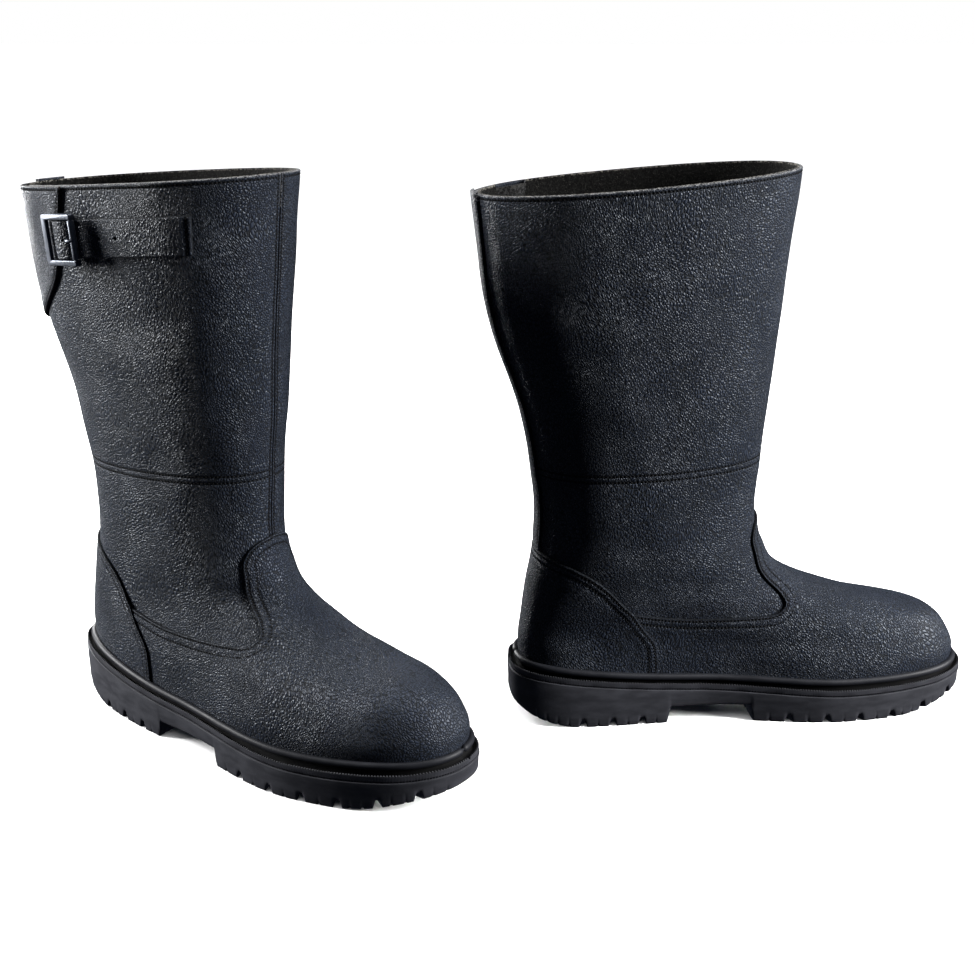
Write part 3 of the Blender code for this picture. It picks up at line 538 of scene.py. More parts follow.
def leather(name, tone, edge_colour, edge_colour_from=0.0, gloss=0.39):
    """Pebbled leather: domes with creases between them, drawn long in drifting directions.

    The creases are painted near black as shade. The stitch rows are painted darker as shade in their
    grooves. The cut edges are painted dark, partly as their own dark colour and partly as shade beside them.
    The colour given for the cut edges is used above the height given, in millimetres: on the flap it is the
    brown bare cut edge, and on the rim it is a light grey that is partly wear and partly a painted highlight
    where the rim's top catches the light.
    """
    n = Nodes(name)
    drift = n.math_vector("SUBTRACT", n.noise(0.02, 1.0, colour=True), (0.5, 0.5, 0.5))
    ripple = n.math_vector("SUBTRACT", n.noise(0.35, 2.0, colour=True), (0.5, 0.5, 0.5))
    bent = n.math_vector("ADD", n.place, n.math_vector("SCALE", drift, scale=30))
    bent = n.math_vector("ADD", bent, n.math_vector("SCALE", ripple, scale=0.8))
    long_way = n.math_vector("MULTIPLY", bent, (1.0, 1.0, 0.75))
    dome = n.math("POWER", n.times(n.cells(0.7, place=long_way), 3.0, clamp=True), 0.7)
    height = n.plus(dome, n.times(n.noise(2.6, 3.0, 0.6), 0.05))
    seam = n.ramp(n.attribute("seam_near"), 0.72, 0.95)
    edge = n.attribute("edge_near")
    cut = n.ramp(edge, 0.94, 0.99)
    flat = n.times(n.math("MAXIMUM", seam, n.ramp(edge, 0.86, 0.99)), 0.75)
    taut = n.math("SUBTRACT", 1.0, n.times(n.attribute("taut"), 0.45))
    height = n.times(height, n.times(n.math("SUBTRACT", 1.0, flat), taut))
    skin = n.bump(height, 0.46 * MM)
    normal = n.bump(n.math("SUBTRACT", 1.0, seam), 0.15 * MM, normal=skin)

    patches = n.ramp(n.noise(0.045, 3.0), 0.3, 0.7)
    crease = n.ramp(dome, 0.7, 0.25)
    colour = n.mix(patches, shade(tone, 0.85), shade(tone, 1.2))
    speck = n.times(n.ramp(n.noise(1.3, 2.0), 0.45, 0.75), 0.3)
    colour = n.mix(speck, colour, shade(tone, 1.5))
    # Painted shade: the creases between the domes are darkened to near black in the colour.
    colour = n.mix(n.times(crease, 0.92), colour, shade(tone, 0.05))
    # Painted shade: the leather along the rows of stitches is darkened, standing in for the shade in their
    # grooves.
    colour = n.mix(n.times(seam, 0.6), colour, shade(tone, 0.1))
    # The cut edges are darkened: partly the leather's own dark cut edge, partly painted shade beside the
    # step of the edge.
    colour = n.mix(n.times(cut, 0.9), colour, shade(tone, 0.06))
    height_up = n.node("SeparateXYZ", n.place).outputs["Z"]
    # Patchy colour on the cut edges above a height: on the flap the real brown bare edge; on the rim a light
    # grey, partly wear and partly a painted highlight where the rim's top catches the light.
    edge_wear_and_highlight = n.times(n.ramp(edge, 0.93, 0.99), n.ramp(n.noise(1.0, 3.0), 0.44, 0.6))
    edge_wear_and_highlight = n.times(edge_wear_and_highlight, n.ramp(height_up, edge_colour_from - 1, edge_colour_from))
    colour = n.mix(edge_wear_and_highlight, colour, edge_colour)
    scuff = n.times(n.ramp(n.noise(0.12, 5.0, 0.7), 0.58, 0.75), 0.08)
    dull = n.plus(n.times(crease, 0.3), n.times(n.math("MAXIMUM", seam, cut), 0.4))
    rough = n.plus(n.plus(gloss, dull), scuff)
    tint = (0.86, 0.92, 1.0, 1.0)
    return n.finish(colour, rough, normal, IOR=1.45, Specular_IOR_Level=0.25, Specular_Tint=tint)


def rubber(name, tone, gloss=0.36, shine=0.5):
    """Moulded rubber: matte, with fine grain, faint flow marks and pale dust, and its sunken grooves painted
    near black as shade.
    """
    n = Nodes(name)
    grain = n.noise(3.0, 3.0, 0.6)
    flow = n.noise(0.08, 4.0, place=n.math_vector("MULTIPLY", n.place, (1, 1, 3)))
    normal = n.bump(grain, 0.05 * MM)
    light = shade(tone, 1.5)
    colour = n.mix(n.ramp(flow, 0.3, 0.75), tone, light)
    colour = n.mix(n.times(n.ramp(n.noise(0.5, 5.0, 0.7), 0.55, 0.8), 0.5), colour, shade(tone, 2.2))
    # Painted shade: where the mesh marks the groove under the bead and the notches of the comb, the rubber
    # is painted near black.
    deep = n.attribute("deep")
    colour = n.mix(deep, colour, (0.0012, 0.0012, 0.0014))
    rough = n.plus(n.ramp(flow, 0.2, 0.8, gloss, gloss + 0.14), n.times(deep, 0.45))
    return n.finish(colour, rough, normal, IOR=1.5, Specular_IOR_Level=shine)


def felt(name, tone, fleck):
    """Pressed felt: matted fibres with pale flecks."""
    n = Nodes(name)
    wool = n.noise(1.1, 5.0, 0.75)
    strands = n.cells(0.9, "SMOOTH_F1")
    height = n.plus(n.times(wool, 0.8), n.times(strands, 0.4))
    colour = n.mix(n.ramp(n.noise(0.6, 4.0, 0.8), 0.46, 0.62), tone, shade(tone, 7))
    colour = n.mix(n.times(n.ramp(n.noise(1.6, 2.0), 0.62, 0.74), 0.25), colour, fleck)
    edge = n.times(n.ramp(n.attribute("edge_near"), 0.8, 0.97), n.ramp(n.noise(0.9, 3.0), 0.48, 0.6))
    colour = n.mix(edge, colour, fleck)
    return n.finish(colour, 0.95, n.bump(height, 0.6 * MM), Specular_IOR_Level=0.1)


def woven(name, tone, pitch=0.9):
    """A plain weave of crossing threads."""
    n = Nodes(name)
    waves = []
    for axis in ((1, 0.35, 0), (0, 0.2, 1)):
        run = n.node("VectorMath", n.place, axis, operation="DOT_PRODUCT")
        waves.append(n.math("SINE", n.times(run.outputs["Value"], 2 * math.pi / pitch)))
    height = n.math("MAXIMUM", waves[0], waves[1])
    height = n.plus(height, n.times(n.noise(2.0, 3.0), 0.6))
    # Painted shade: the low places of the weave are darker than the tops of the threads.
    colour = n.mix(n.ramp(height, -0.5, 1.2), shade(tone, 0.55), tone)
    colour = n.mix(n.times(n.ramp(n.noise(0.05, 3.0), 0.4, 0.7), 0.4), colour, shade(tone, 0.6))
    return n.finish(colour, 0.9, n.bump(height, 0.2 * MM), Sheen_Weight=0.2)


def painted_metal(name, tone):
    """Painted metal: satin, slightly uneven, with paler rubbed patches here and there."""
    n = Nodes(name)
    orange_peel = n.noise(1.3, 2.0)
    wear = n.times(n.ramp(n.noise(0.9, 5.0, 0.7), 0.55, 0.68), 0.35)
    colour = n.mix(n.ramp(n.noise(0.25, 3.0), 0.3, 0.7), shade(tone, 0.85), shade(tone, 1.15))
    colour = n.mix(wear, colour, shade(tone, 1.9))
    rough = n.ramp(n.noise(0.6, 4.0), 0.3, 0.7, 0.3, 0.42)
    return n.finish(colour, rough, n.bump(orange_peel, 0.06 * MM), Metallic=0.55, IOR=1.5)


def bare_steel(name):
    n = Nodes(name)
    brushed = n.noise(1.0, 4.0, place=n.math_vector("MULTIPLY", n.place, (0.15, 3.0, 3.0)))
    colour = n.mix(n.ramp(n.noise(0.1, 4.0), 0.3, 0.7), (0.42, 0.42, 0.43), (0.58, 0.58, 0.57))
    rough = n.ramp(brushed, 0.2, 0.8, 0.28, 0.5)
    return n.finish(colour, rough, n.bump(brushed, 0.04 * MM), Metallic=1.0)


def fibre_board(name):
    n = Nodes(name)
    fibres = n.noise(0.8, 5.0, 0.75, place=n.math_vector("MULTIPLY", n.place, (0.5, 1.4, 1.4)))
    colour = n.mix(n.ramp(fibres, 0.3, 0.7), (0.34, 0.26, 0.17), (0.52, 0.43, 0.31))
    return n.finish(colour, n.ramp(fibres, 0.2, 0.8, 0.8, 0.95), n.bump(fibres, 0.15 * MM))


def thread(name, tone):
    n = Nodes(name)
    twist = n.noise(3.5, 2.0)
    colour = n.mix(n.ramp(twist, 0.3, 0.7), tone, shade(tone, 2))
    rough = n.ramp(twist, 0.3, 0.7, 0.7, 0.9)
    return n.finish(colour, rough, n.bump(twist, 0.1 * MM), Specular_IOR_Level=0.2)


# ---------------------------------------------------------------- cut leather
def nearness(gap, reach):
    """1 at no distance, down to 0 at the reach."""
    return np.clip(1 - gap / reach, 0, 1)


def rolled(edge, share):
    """How far the face rolls down at a cut edge."""
    part = nearness(edge, EDGE_ROLL)
    return (1 - np.sqrt(1 - part * part)) * EDGE_ROLL * share


def pulled_in(seam):
    """How far the face dips along a row of stitches."""
    return SEAM_DIP * np.exp(-((seam / SEAM_HALF_WIDTH) ** 2))


class Panel:
    """A cut piece of leather on the surface: its grid, its cut edges and its rows of stitches.

    top(u, v) gives the height of its face before its edges roll down and its seams pull in.
    """

    def __init__(self, name, u, v, top, thickness, edges, rows, quads=None, taut=0.0):
        self.name = name
        self.top = top
        self.thickness = thickness
        self.edges = [on_surface(line) for line in edges]
        self.rows = [respaced(line, STITCH_PITCH) for line in rows]
        self.row_lines = [on_surface(line) for line in rows]
        u, v = np.broadcast_arrays(u, v)
        self.quads = grid_quads(*u.shape) if quads is None else quads
        self.u, self.v = u.ravel(), v.ravel()
        self.base = surface(self.u, self.v)
        self.normal = outward(self.u, self.v)
        self.height, self.edge, self.seam = self.heights(self.u, self.v, self.base)
        self.taut = taut(self.base) if callable(taut) else np.full(len(self.u), taut)

    def near(self, points, lines, reach):
        gap = np.full(len(points), 10 * reach)
        for line in lines:
            low, high = line.min(0) - reach, line.max(0) + reach
            close = ((points > low) & (points < high)).all(-1)
            if close.any():
                gap[close] = np.minimum(gap[close], distance_to(points[close], line))
        return gap

    def heights(self, u, v, points):
        edge = self.near(points, self.edges, EDGE_REACH)
        seam = self.near(points, self.row_lines, SEAM_REACH)
        return self.top(u, v, points) - rolled(edge, 0.75) - pulled_in(seam), edge, seam

    def make(self, boot, paint):
        lift = boot.relief(self.base)
        outer = self.base + self.normal * (self.height + lift)[:, None]
        under = self.top(self.u, self.v, self.base) - self.thickness + lift
        inner = self.base + self.normal * under[:, None]
        points, faces, used = closed_sheet(outer, inner, self.quads)
        used = used % len(outer)
        return boot.add(
            self.name, points, faces, paint, (self.name,), "leather",
            edge_near=nearness(self.edge, EDGE_REACH)[used],
            seam_near=nearness(self.seam, SEAM_REACH)[used],
            taut=self.taut[used],
        )

    def stitches(self, boot):
        """Middle, heading and outward direction of each stitch."""
        found = []
        for row in self.rows:
            middle = (row[:-1] + row[1:]) / 2
            base = on_surface(middle)
            normal = outward(middle[:, 0], middle[:, 1])
            height = self.heights(middle[:, 0], middle[:, 1], base)[0] + boot.relief(base)
            heading = unit(np.diff(on_surface(row), axis=0))
            found.append((base + normal * height[:, None], heading, normal))
        return found


def foot_tightness(points):
    """How far the leather is stretched over the toe, from 0 to 1."""
    return smooth_step(205 * MM, 262 * MM, points[:, 0]) * 0.9


def vamp_panel():
    first = COUNTER_FRONT_U - 0.012
    fine = np.linspace(first, 1 - first, 3001)
    top_edge = mirrored_level(VAMP_EDGE, fine)
    runs = []
    for level in (top_edge, 45 * MM):
        runs.append(np.linalg.norm(np.diff(surface(fine, level), axis=0), axis=1))
    run = np.concatenate([[0], np.cumsum(np.maximum(*runs))])
    u = np.interp(np.linspace(0, run[-1], int(run[-1] / (2.1 * MM))), run, fine)
    high = mirrored_level(VAMP_EDGE, u)
    low = FEATHER + 0.3 * MM
    margin = 12 * MM
    middle = np.linspace(low, high.max() - margin, 200)
    length = run_along(surface(0.5, middle))
    stops = np.linspace(0, length[-1], int(length[-1] / (2.3 * MM)))
    share = np.interp(stops, length, np.linspace(0, 1, 200))
    body = low + share[:, None] * (high - margin - low)[None, :]
    v = np.concatenate([body, high[None, :] - TO_EDGE])
    line = respaced(uv_line(fine, top_edge), LINE_STEP)
    sides = [upright_line(turn, FEATHER, 78 * MM) for turn in (first + 0.014, 1 - first - 0.014)]
    sewn = [on_surface(path) for path in (line, *sides)]

    def top(u, v, points):
        """The overlay lies down at its sewn edges and rises to its full height behind them."""
        nearest = np.minimum.reduce([distance_to(points, path) for path in sewn])
        behind = smooth_step(1.5 * MM, 15 * MM, nearest)
        return OVERLAY_NEAR + (OVERLAY_FAR - OVERLAY_NEAR) * behind

    keep = (line[:, 0] > COUNTER_FRONT_U) & (line[:, 0] < 1 - COUNTER_FRONT_U)
    rows = [inset(line[keep], 1.5 * MM), inset(line[keep], 6.2 * MM)]
    return Panel("vamp", u[None, :], v, top, OVERLAY_THICKNESS, [line], rows, taut=foot_tightness)


def counter_panel():
    around = 2 * COUNTER_FRONT_U * 330 * MM
    share = spread(around, GRID_STEP, FINE_MARKS, FINE_MARKS) / around
    u = share * 2 * COUNTER_FRONT_U - COUNTER_FRONT_U
    high = mirrored_level(COUNTER_EDGE, u)
    low = FEATHER + 0.3 * MM
    margin = max(FINE_MARKS)
    body = low + np.linspace(0, 1, 30)[:, None] * (high - margin - low)[None, :]
    v = np.concatenate([body, high[None, :] - TO_EDGE[1:]])
    turns = np.linspace(-COUNTER_FRONT_U, COUNTER_FRONT_U, 1200)
    crest = uv_line(turns, mirrored_level(COUNTER_EDGE, turns))
    climb = np.linspace(FEATHER + 0.5 * MM, 77.9 * MM, 100)
    up_side = uv_line(-COUNTER_FRONT_U, climb)
    down_side = uv_line(COUNTER_FRONT_U, climb[::-1])
    line = respaced(np.concatenate([up_side, crest, down_side]), LINE_STEP)
    crest_place = on_surface(crest)
    side_places = [on_surface(side) for side in (up_side, down_side)]

    def top(u, v, points):
        down = 1 - smooth_step(1.5 * MM, 14 * MM, distance_to(points, crest_place))
        from_side = np.minimum(*(distance_to(points, side) for side in side_places))
        lap = 1 - smooth_step(1.5 * MM, 14 * MM, from_side)
        over_stay = 1 - smooth_step(8 * MM, 14 * MM, np.abs(points[:, 1]))
        return OVERLAY_FAR + COUNTER_LAP * lap - (OVERLAY_FAR - OVERLAY_NEAR) * down * (1 - over_stay)

    rows = [inset(line, 1.7 * MM), inset(line, 5.6 * MM)]
    rows = [row[(row[:, 1] > FEATHER + 3 * MM)] for row in rows]
    return Panel("heel_counter", u[None, :], v, top, OVERLAY_THICKNESS, [line], rows)


def shaft_rows():
    """Level lines of the shaft above the ankle, fine at the stitched band and at the rim."""
    band = np.arange(-4.2, 4.21, 0.6) * MM + SHAFT_SEAM
    below = np.linspace(150 * MM, band[0], 6)
    above = band[-1] + spread(RIM - band[-1], 2.4 * MM, (), FINE_MARKS[:9])
    lines = np.unique(np.round(np.concatenate([below, band, above]), 7))
    lines[np.argmin(np.abs(lines - SLIT_TIP[1]))] = SLIT_TIP[1]
    return lines


def slit_edge(side, v):
    """The turn of the slit's rear (0) or front (1) edge at each level."""
    share = np.clip((v - SLIT_TIP[1]) / (RIM - SLIT_TIP[1]), 0, 1)
    return SLIT_TIP[0] + (SLIT_TOP_U[side] - SLIT_TIP[0]) * share


def side_columns(first, last, fine_first=True):
    """Turns from first to last, about even in distance, fine at the ends."""
    start = FINE_MARKS[:7] if fine_first else ()
    return first + spread((last - first) * SHAFT_GIRTH, GRID_STEP, start, FINE_MARKS[:7]) / SHAFT_GIRTH


def shaft_panel(name, outer_side):
    seam = 0.0006
    upper = shaft_rows()
    if outer_side:
        rear = side_columns(seam, SLIT_TIP[0])
        front = side_columns(SLIT_TIP[0], 0.5 - seam)
        low_u = np.concatenate([rear, front])
    else:
        low_u = side_columns(0.5 + seam, 1 - seam)
    hem = mirrored_level(SHAFT_HEM, low_u)
    lower = hem + np.linspace(0, 1, 34)[:-1, None] * (upper[0] - hem)[None, :]
    v = np.concatenate([lower, np.broadcast_to(upper[:, None], (len(upper), len(low_u)))])
    u = np.broadcast_to(low_u, v.shape).copy()
    quads = None
    if outer_side:
        split = len(rear)
        open_rows = v[:, 0] > SLIT_TIP[1] + 1e-6
        for i in np.flatnonzero(open_rows):
            back, ahead = slit_edge(0, v[i, 0]), slit_edge(1, v[i, 0])
            u[i, :split] = seam + (rear - seam) * (back - seam) / (SLIT_TIP[0] - seam)
            far = 0.5 - seam
            u[i, split:] = far - (far - front) * (far - ahead) / (far - SLIT_TIP[0])
        merge = np.arange(v.size)
        closed = np.flatnonzero(~open_rows)
        merge[closed * len(low_u) + split] = closed * len(low_u) + split - 1
        quads = merge[grid_quads(*v.shape, skip=split - 1)]
    first, last = low_u[0], low_u[-1]
    front_edge = upright_line(last if outer_side else first, 95 * MM, RIM)
    back_edge = upright_line(first if outer_side else last, 105 * MM, RIM)
    edges = [front_edge, back_edge]
    rim_runs = [(first, last)]
    if outer_side:
        edges += [rising_line(lambda level, k=k: slit_edge(k, level), SLIT_TIP[1], RIM) for k in (0, 1)]
        rim_runs = [(first, SLIT_TOP_U[0]), (SLIT_TOP_U[1], last)]
    edges += [level_line(a, b, RIM) for a, b in rim_runs]
    from_first, from_last = (0.03, 0.006) if outer_side else (0.006, 0.03)
    band = (SHAFT_SEAM - 2 * MM, SHAFT_SEAM + 2 * MM)
    rows = [level_line(first + from_first, last - from_last, level) for level in band]
    away = inset(front_edge, -1.8 * MM if outer_side else 1.8 * MM)
    rows.append(away[away[:, 1] > 126 * MM])
    rim_start = max(rim_runs[-1][0], 0.21) if outer_side else first + 0.004
    rows.append(level_line(rim_start, last - 0.004, RIM_SEAM))

    def top(u, v, points):
        return np.full(len(points), SHAFT_TOP)

    return Panel(name, u, v, top, SHAFT_THICKNESS, edges, rows, quads)


def stay_half_turn(v):
    return np.interp(v, (FEATHER, RIM), (0.036, 0.025))


def back_stay_panel():
    v = 111 * MM + spread(RIM - 111 * MM, 2.6 * MM, (), FINE_MARKS[:9])
    half = np.array((0.3, 0.6, 0.76, 0.84, 0.9, 0.95, 0.985, 1))
    across = np.concatenate([-half[::-1], [0], half])
    u = across[None, :] * stay_half_turn(v)[:, None]
    right = rising_line(lambda level: stay_half_turn(level), 115 * MM, RIM)
    left = rising_line(lambda level: -stay_half_turn(level), 115 * MM, RIM)
    rim = level_line(-stay_half_turn(RIM), stay_half_turn(RIM), RIM)
    rows = [inset(right, -1.6 * MM), inset(left, 1.6 * MM)]
    rows = [row[row[:, 1] > 117 * MM] for row in rows]

    def top(u, v, points):
        dome = 1 - (np.clip(u / stay_half_turn(v), -1, 1)) ** 2
        tuck = 1 - smooth_step(112 * MM, 122 * MM, v)
        return STAY_TOP + 0.25 * MM * dome - 0.5 * MM * tuck

    panel = Panel("back_stay", u, v[:, None], top, 2.1 * MM, [right, left, rim], rows)
    crest = smooth_step(RIM - 8 * MM, RIM, panel.v) * STAY_CREST
    panel.base = panel.base + crest[:, None] * (0, 0, 1)
    return panel


def flap_panel():
    start = 0.018
    turns, levels = np.array(FLAP_EDGE).T * ((1,), (MM,))
    low = float(np.interp(start + 0.004, turns, levels)) + 1 * MM
    v = low + spread(RIM - low, 2.4 * MM, FINE_MARKS[:4], FINE_MARKS[:9])
    fine = np.linspace(levels[0], RIM, 600)
    steps = tuple(zip(levels, turns))
    edge_u = line_through(steps, v)
    share = side_columns(0, 0.2, fine_first=False) / 0.2
    u = start + share[None, :] * (edge_u - start)[:, None]
    free = respaced(uv_line(line_through(steps, fine), fine), LINE_STEP)
    rim = level_line(start, float(edge_u[-1]), RIM)
    free_place = on_surface(free)
    rim_row = level_line(0.03, float(edge_u[-1]) - 0.006, RIM_SEAM)
    free_row = inset(free, -1.7 * MM)
    free_row = free_row[(free_row[:, 1] < RIM - 4 * MM) & (free_row[:, 0] > 0.035)]

    def top(u, v, points):
        lift = 1 - smooth_step(0, 16 * MM, distance_to(points, free_place))
        return FLAP_TOP + FLAP_LIFT * lift

    return Panel("shaft_flap", u, v[:, None], top, 1.6 * MM, [free, rim], [rim_row, free_row])


def all_panels():
    return (
        vamp_panel(),
        counter_panel(),
        shaft_panel("lateral_shaft_panel", True),
        shaft_panel("medial_shaft_panel", False),
        back_stay_panel(),
        flap_panel(),
    )


# ---------------------------------------------------------------- stitches
def stitch_mesh(places, slant=math.radians(7)):
    """One capped thread for each stitch, arched in the middle and sunk at both ends."""
    sides = 6
    share = np.array((-0.92, -0.45, 0.45, 0.92))
    size = np.array((0.62, 1, 1, 0.62))
    points, faces = [], []
    around = 2 * math.pi * np.arange(sides) / sides
    for middle, heading, normal in places:
        across = np.cross(heading, normal)
        heading = heading * math.cos(slant) + across * math.sin(slant)
        across = np.cross(heading, normal)
        for m, h, n, a in zip(middle, heading, normal, across):
            start = len(points)
            for s, r in zip(share, size):
                centre = m + h * s * STITCH_LENGTH / 2 + n * THREAD_RADIUS * (0.55 - 0.9 * s * s)
                ring = np.cos(around)[:, None] * a + np.sin(around)[:, None] * n
                points.extend(centre + ring * THREAD_RADIUS * r)
            points.append(m - h * STITCH_LENGTH / 2 - n * THREAD_RADIUS * 0.6)
            points.append(m + h * STITCH_LENGTH / 2 - n * THREAD_RADIUS * 0.6)
            low, high = start + 4 * sides, start + 4 * sides + 1
            for k in range(sides):
                j = (k + 1) % sides
                for row in range(3):
                    a0, a1 = start + row * sides + k, start + row * sides + j
                    faces.append((a0, a1, a1 + sides, a0 + sides))
                faces.append((low, start + j, start + k))
                faces.append((high, start + 3 * sides + k, start + 3 * sides + j))
    return np.array(points), faces


# ---------------------------------------------------------------- linings and gusset
def lining(boot, name, paint, low, high, slot, slit):
    """A tube of lining; with the slit, its two ends meet below the tip and part above it."""
    v = low + spread(high - low, 3.2 * MM, (), FINE_MARKS[:6] if slit else ())
    if slit:
        v[np.argmin(np.abs(v - SLIT_TIP[1]))] = SLIT_TIP[1]
    count = 110
    share = np.linspace(0, 1, count)
    opened = v > SLIT_TIP[1] + 1e-6 if slit else np.zeros(len(v), bool)
    first = np.where(opened, slit_edge(1, v), SLIT_TIP[0])
    last = 1 + np.where(opened, slit_edge(0, v), SLIT_TIP[0])
    u = first[:, None] + share[None, :] * (last - first)[:, None]
    levels = np.broadcast_to(v[:, None], u.shape)
    merge = np.arange(u.size)
    closed = np.flatnonzero(~opened)
    merge[closed * count + count - 1] = closed * count
    quads = merge[grid_quads(*u.shape)]
    u, levels = u.ravel(), levels.ravel()
    base, normal = surface(u, levels), outward(u, levels)
    lift = boot.relief(base)
    outer = base + normal * (FELT[1] + lift)[:, None]
    inner = base + normal * (FELT[0] + lift)[:, None]
    points, faces, used = closed_sheet(outer, inner, quads)
    edge = nearness(RIM - levels, EDGE_REACH)[used % len(outer)]
    return boot.add(name, points, faces, paint, (name,), slot, edge_near=edge)


def gusset(boot, paint):
    """Thin leather folded into the slit."""
    margin = 0.004
    v = np.linspace(SLIT_TIP[1] + 5 * MM, RIM - 2 * MM, 34)
    across = np.linspace(0, 1, 25)
    rear = slit_edge(0, v) - margin
    front = slit_edge(1, v) + margin
    share = (v - SLIT_TIP[1]) / (RIM - SLIT_TIP[1])
    u = rear[:, None] + across[None, :] * (front - rear)[:, None]
    depth = 1 * MM - 5 * MM * share[:, None] * np.sin(math.pi * across[None, :]) ** 2
    levels = np.broadcast_to(v[:, None], u.shape)
    base, normal = surface(u, levels), outward(u, levels)
    sheet = base + normal * depth[..., None]
    rows, columns = sheet.shape[:2]
    side = unit(np.cross(np.gradient(sheet, axis=0), np.gradient(sheet, axis=1)))
    if (side[rows // 2, 0] * normal[rows // 2, 0]).sum() < 0:
        side = -side
    half = 0.45 * MM
    quads = grid_quads(rows, columns)
    outer, inner = (sheet + side * half).reshape(-1, 3), (sheet - side * half).reshape(-1, 3)
    points, faces, used = closed_sheet(outer, inner, quads)
    top = np.zeros((rows, columns))
    top[-1] = 1
    top[-2] = 0.95
    edge = top.ravel()[used % top.size]
    return boot.add("gusset", points, faces, paint, ("gusset",), "gusset_leather", edge_near=edge)


# ---------------------------------------------------------------- sole
def sole_station(turns):
    """x, outer y and inner y of the sole's outline at turns from 0 (heel) to 0.5 (toe)."""
    s, side = oval(turns, 3.2, 2.35)
    width = HEEL_HALF_WIDTH + (BALL_HALF_WIDTH - HEEL_HALF_WIDTH) * smooth_step(0.38, 0.72, s)
    half = width * side
    return s * SOLE_LENGTH, bow(s) + half, bow(s) - half


class Outline:
    """The sole's outline as stations in pairs, outer side out and inner side back."""

    def __init__(self, spacing, marks=()):
        fine = np.linspace(0, 0.5, 6001)
        x, outer, inner = sole_station(fine)
        steps = [np.hypot(np.diff(x), np.diff(y)) for y in (outer, inner)]
        run = np.concatenate([[0], np.cumsum((steps[0] + steps[1]) / 2)])
        even = np.linspace(0, run[-1], int(round(run[-1] / spacing)) + 1)
        stops = np.concatenate([even, [np.interp(m, x, run) + k for m, shifts in marks for k in shifts]])
        stops = np.unique(np.round(np.clip(stops, 0, run[-1]), 5))
        turns = np.interp(stops, run, fine)
        turns[0], turns[-1] = 0, 0.5
        x, outer, inner = sole_station(turns)
        self.x = np.concatenate([x, x[-2:0:-1]])
        self.y = np.concatenate([outer, inner[-2:0:-1]])
        self.run = np.concatenate([stops, 2 * run[-1] - stops[-2:0:-1]])
        self.half_run = run[-1]
        ahead = unit(np.stack([np.roll(side, -1) - np.roll(side, 1) for side in (self.x, self.y)], -1))
        self.out = np.stack([-ahead[:, 1], ahead[:, 0]], -1)
        self.spine_x = 42 * MM + np.clip(self.x / SOLE_LENGTH, 0, 1) * (SOLE_LENGTH - 96 * MM)
        self.spine_y = bow(self.spine_x / SOLE_LENGTH)
        self.welt = welt_height(self.x)
        self.count = len(self.x)

    def ring(self, out, height):
        """A closed row of points at a distance outside the outline."""
        x, y = self.x + self.out[:, 0] * out, self.y + self.out[:, 1] * out
        return np.stack([x, y, np.broadcast_to(height, x.shape)], -1)

    def inward(self, share, out):
        """x and y part of the way from a ring to the spine."""
        x, y, _ = self.ring(out, 0).T
        return x + (self.spine_x - x) * share, y + (self.spine_y - y) * share

    def deck(self, shares, above, out):
        """Rings toward the spine at a height above the welt line."""
        places = (self.inward(share, out) for share in shares)
        return [np.stack([x, y, welt_height(x) + above], -1) for x, y in places]


def loop_faces(rows, columns):
    """Faces between rings of points, with the last ring joined back to the first."""
    j = np.arange(columns)
    k = (j + 1) % columns
    last = (rows - 1) * columns
    closing = np.stack([last + j, j, k, last + k], -1)
    return np.concatenate([grid_quads(rows, columns, wrap=True), closing]).tolist()


def welded(points, faces):
    """The points and faces with coincident points merged, and which points were kept."""
    keys = np.round(points / (0.002 * MM)).astype(np.int64)
    _, first, index = np.unique(keys, axis=0, return_index=True, return_inverse=True)
    kept = []
    for face in faces:
        corners = list(dict.fromkeys(index[list(face)].ravel().tolist()))
        if len(corners) > 2:
            kept.append(corners)
    return points[first], kept, first


def joint_dip(outline, width):
    """1 at the mould's parting at the heel and toe centres, 0 elsewhere."""
    from_joint = np.minimum(outline.run, np.abs(outline.run - outline.half_run))
    from_joint = np.minimum(from_joint, 2 * outline.half_run - outline.run)
    return 1 - smooth_step(0.4 * width, width, from_joint)


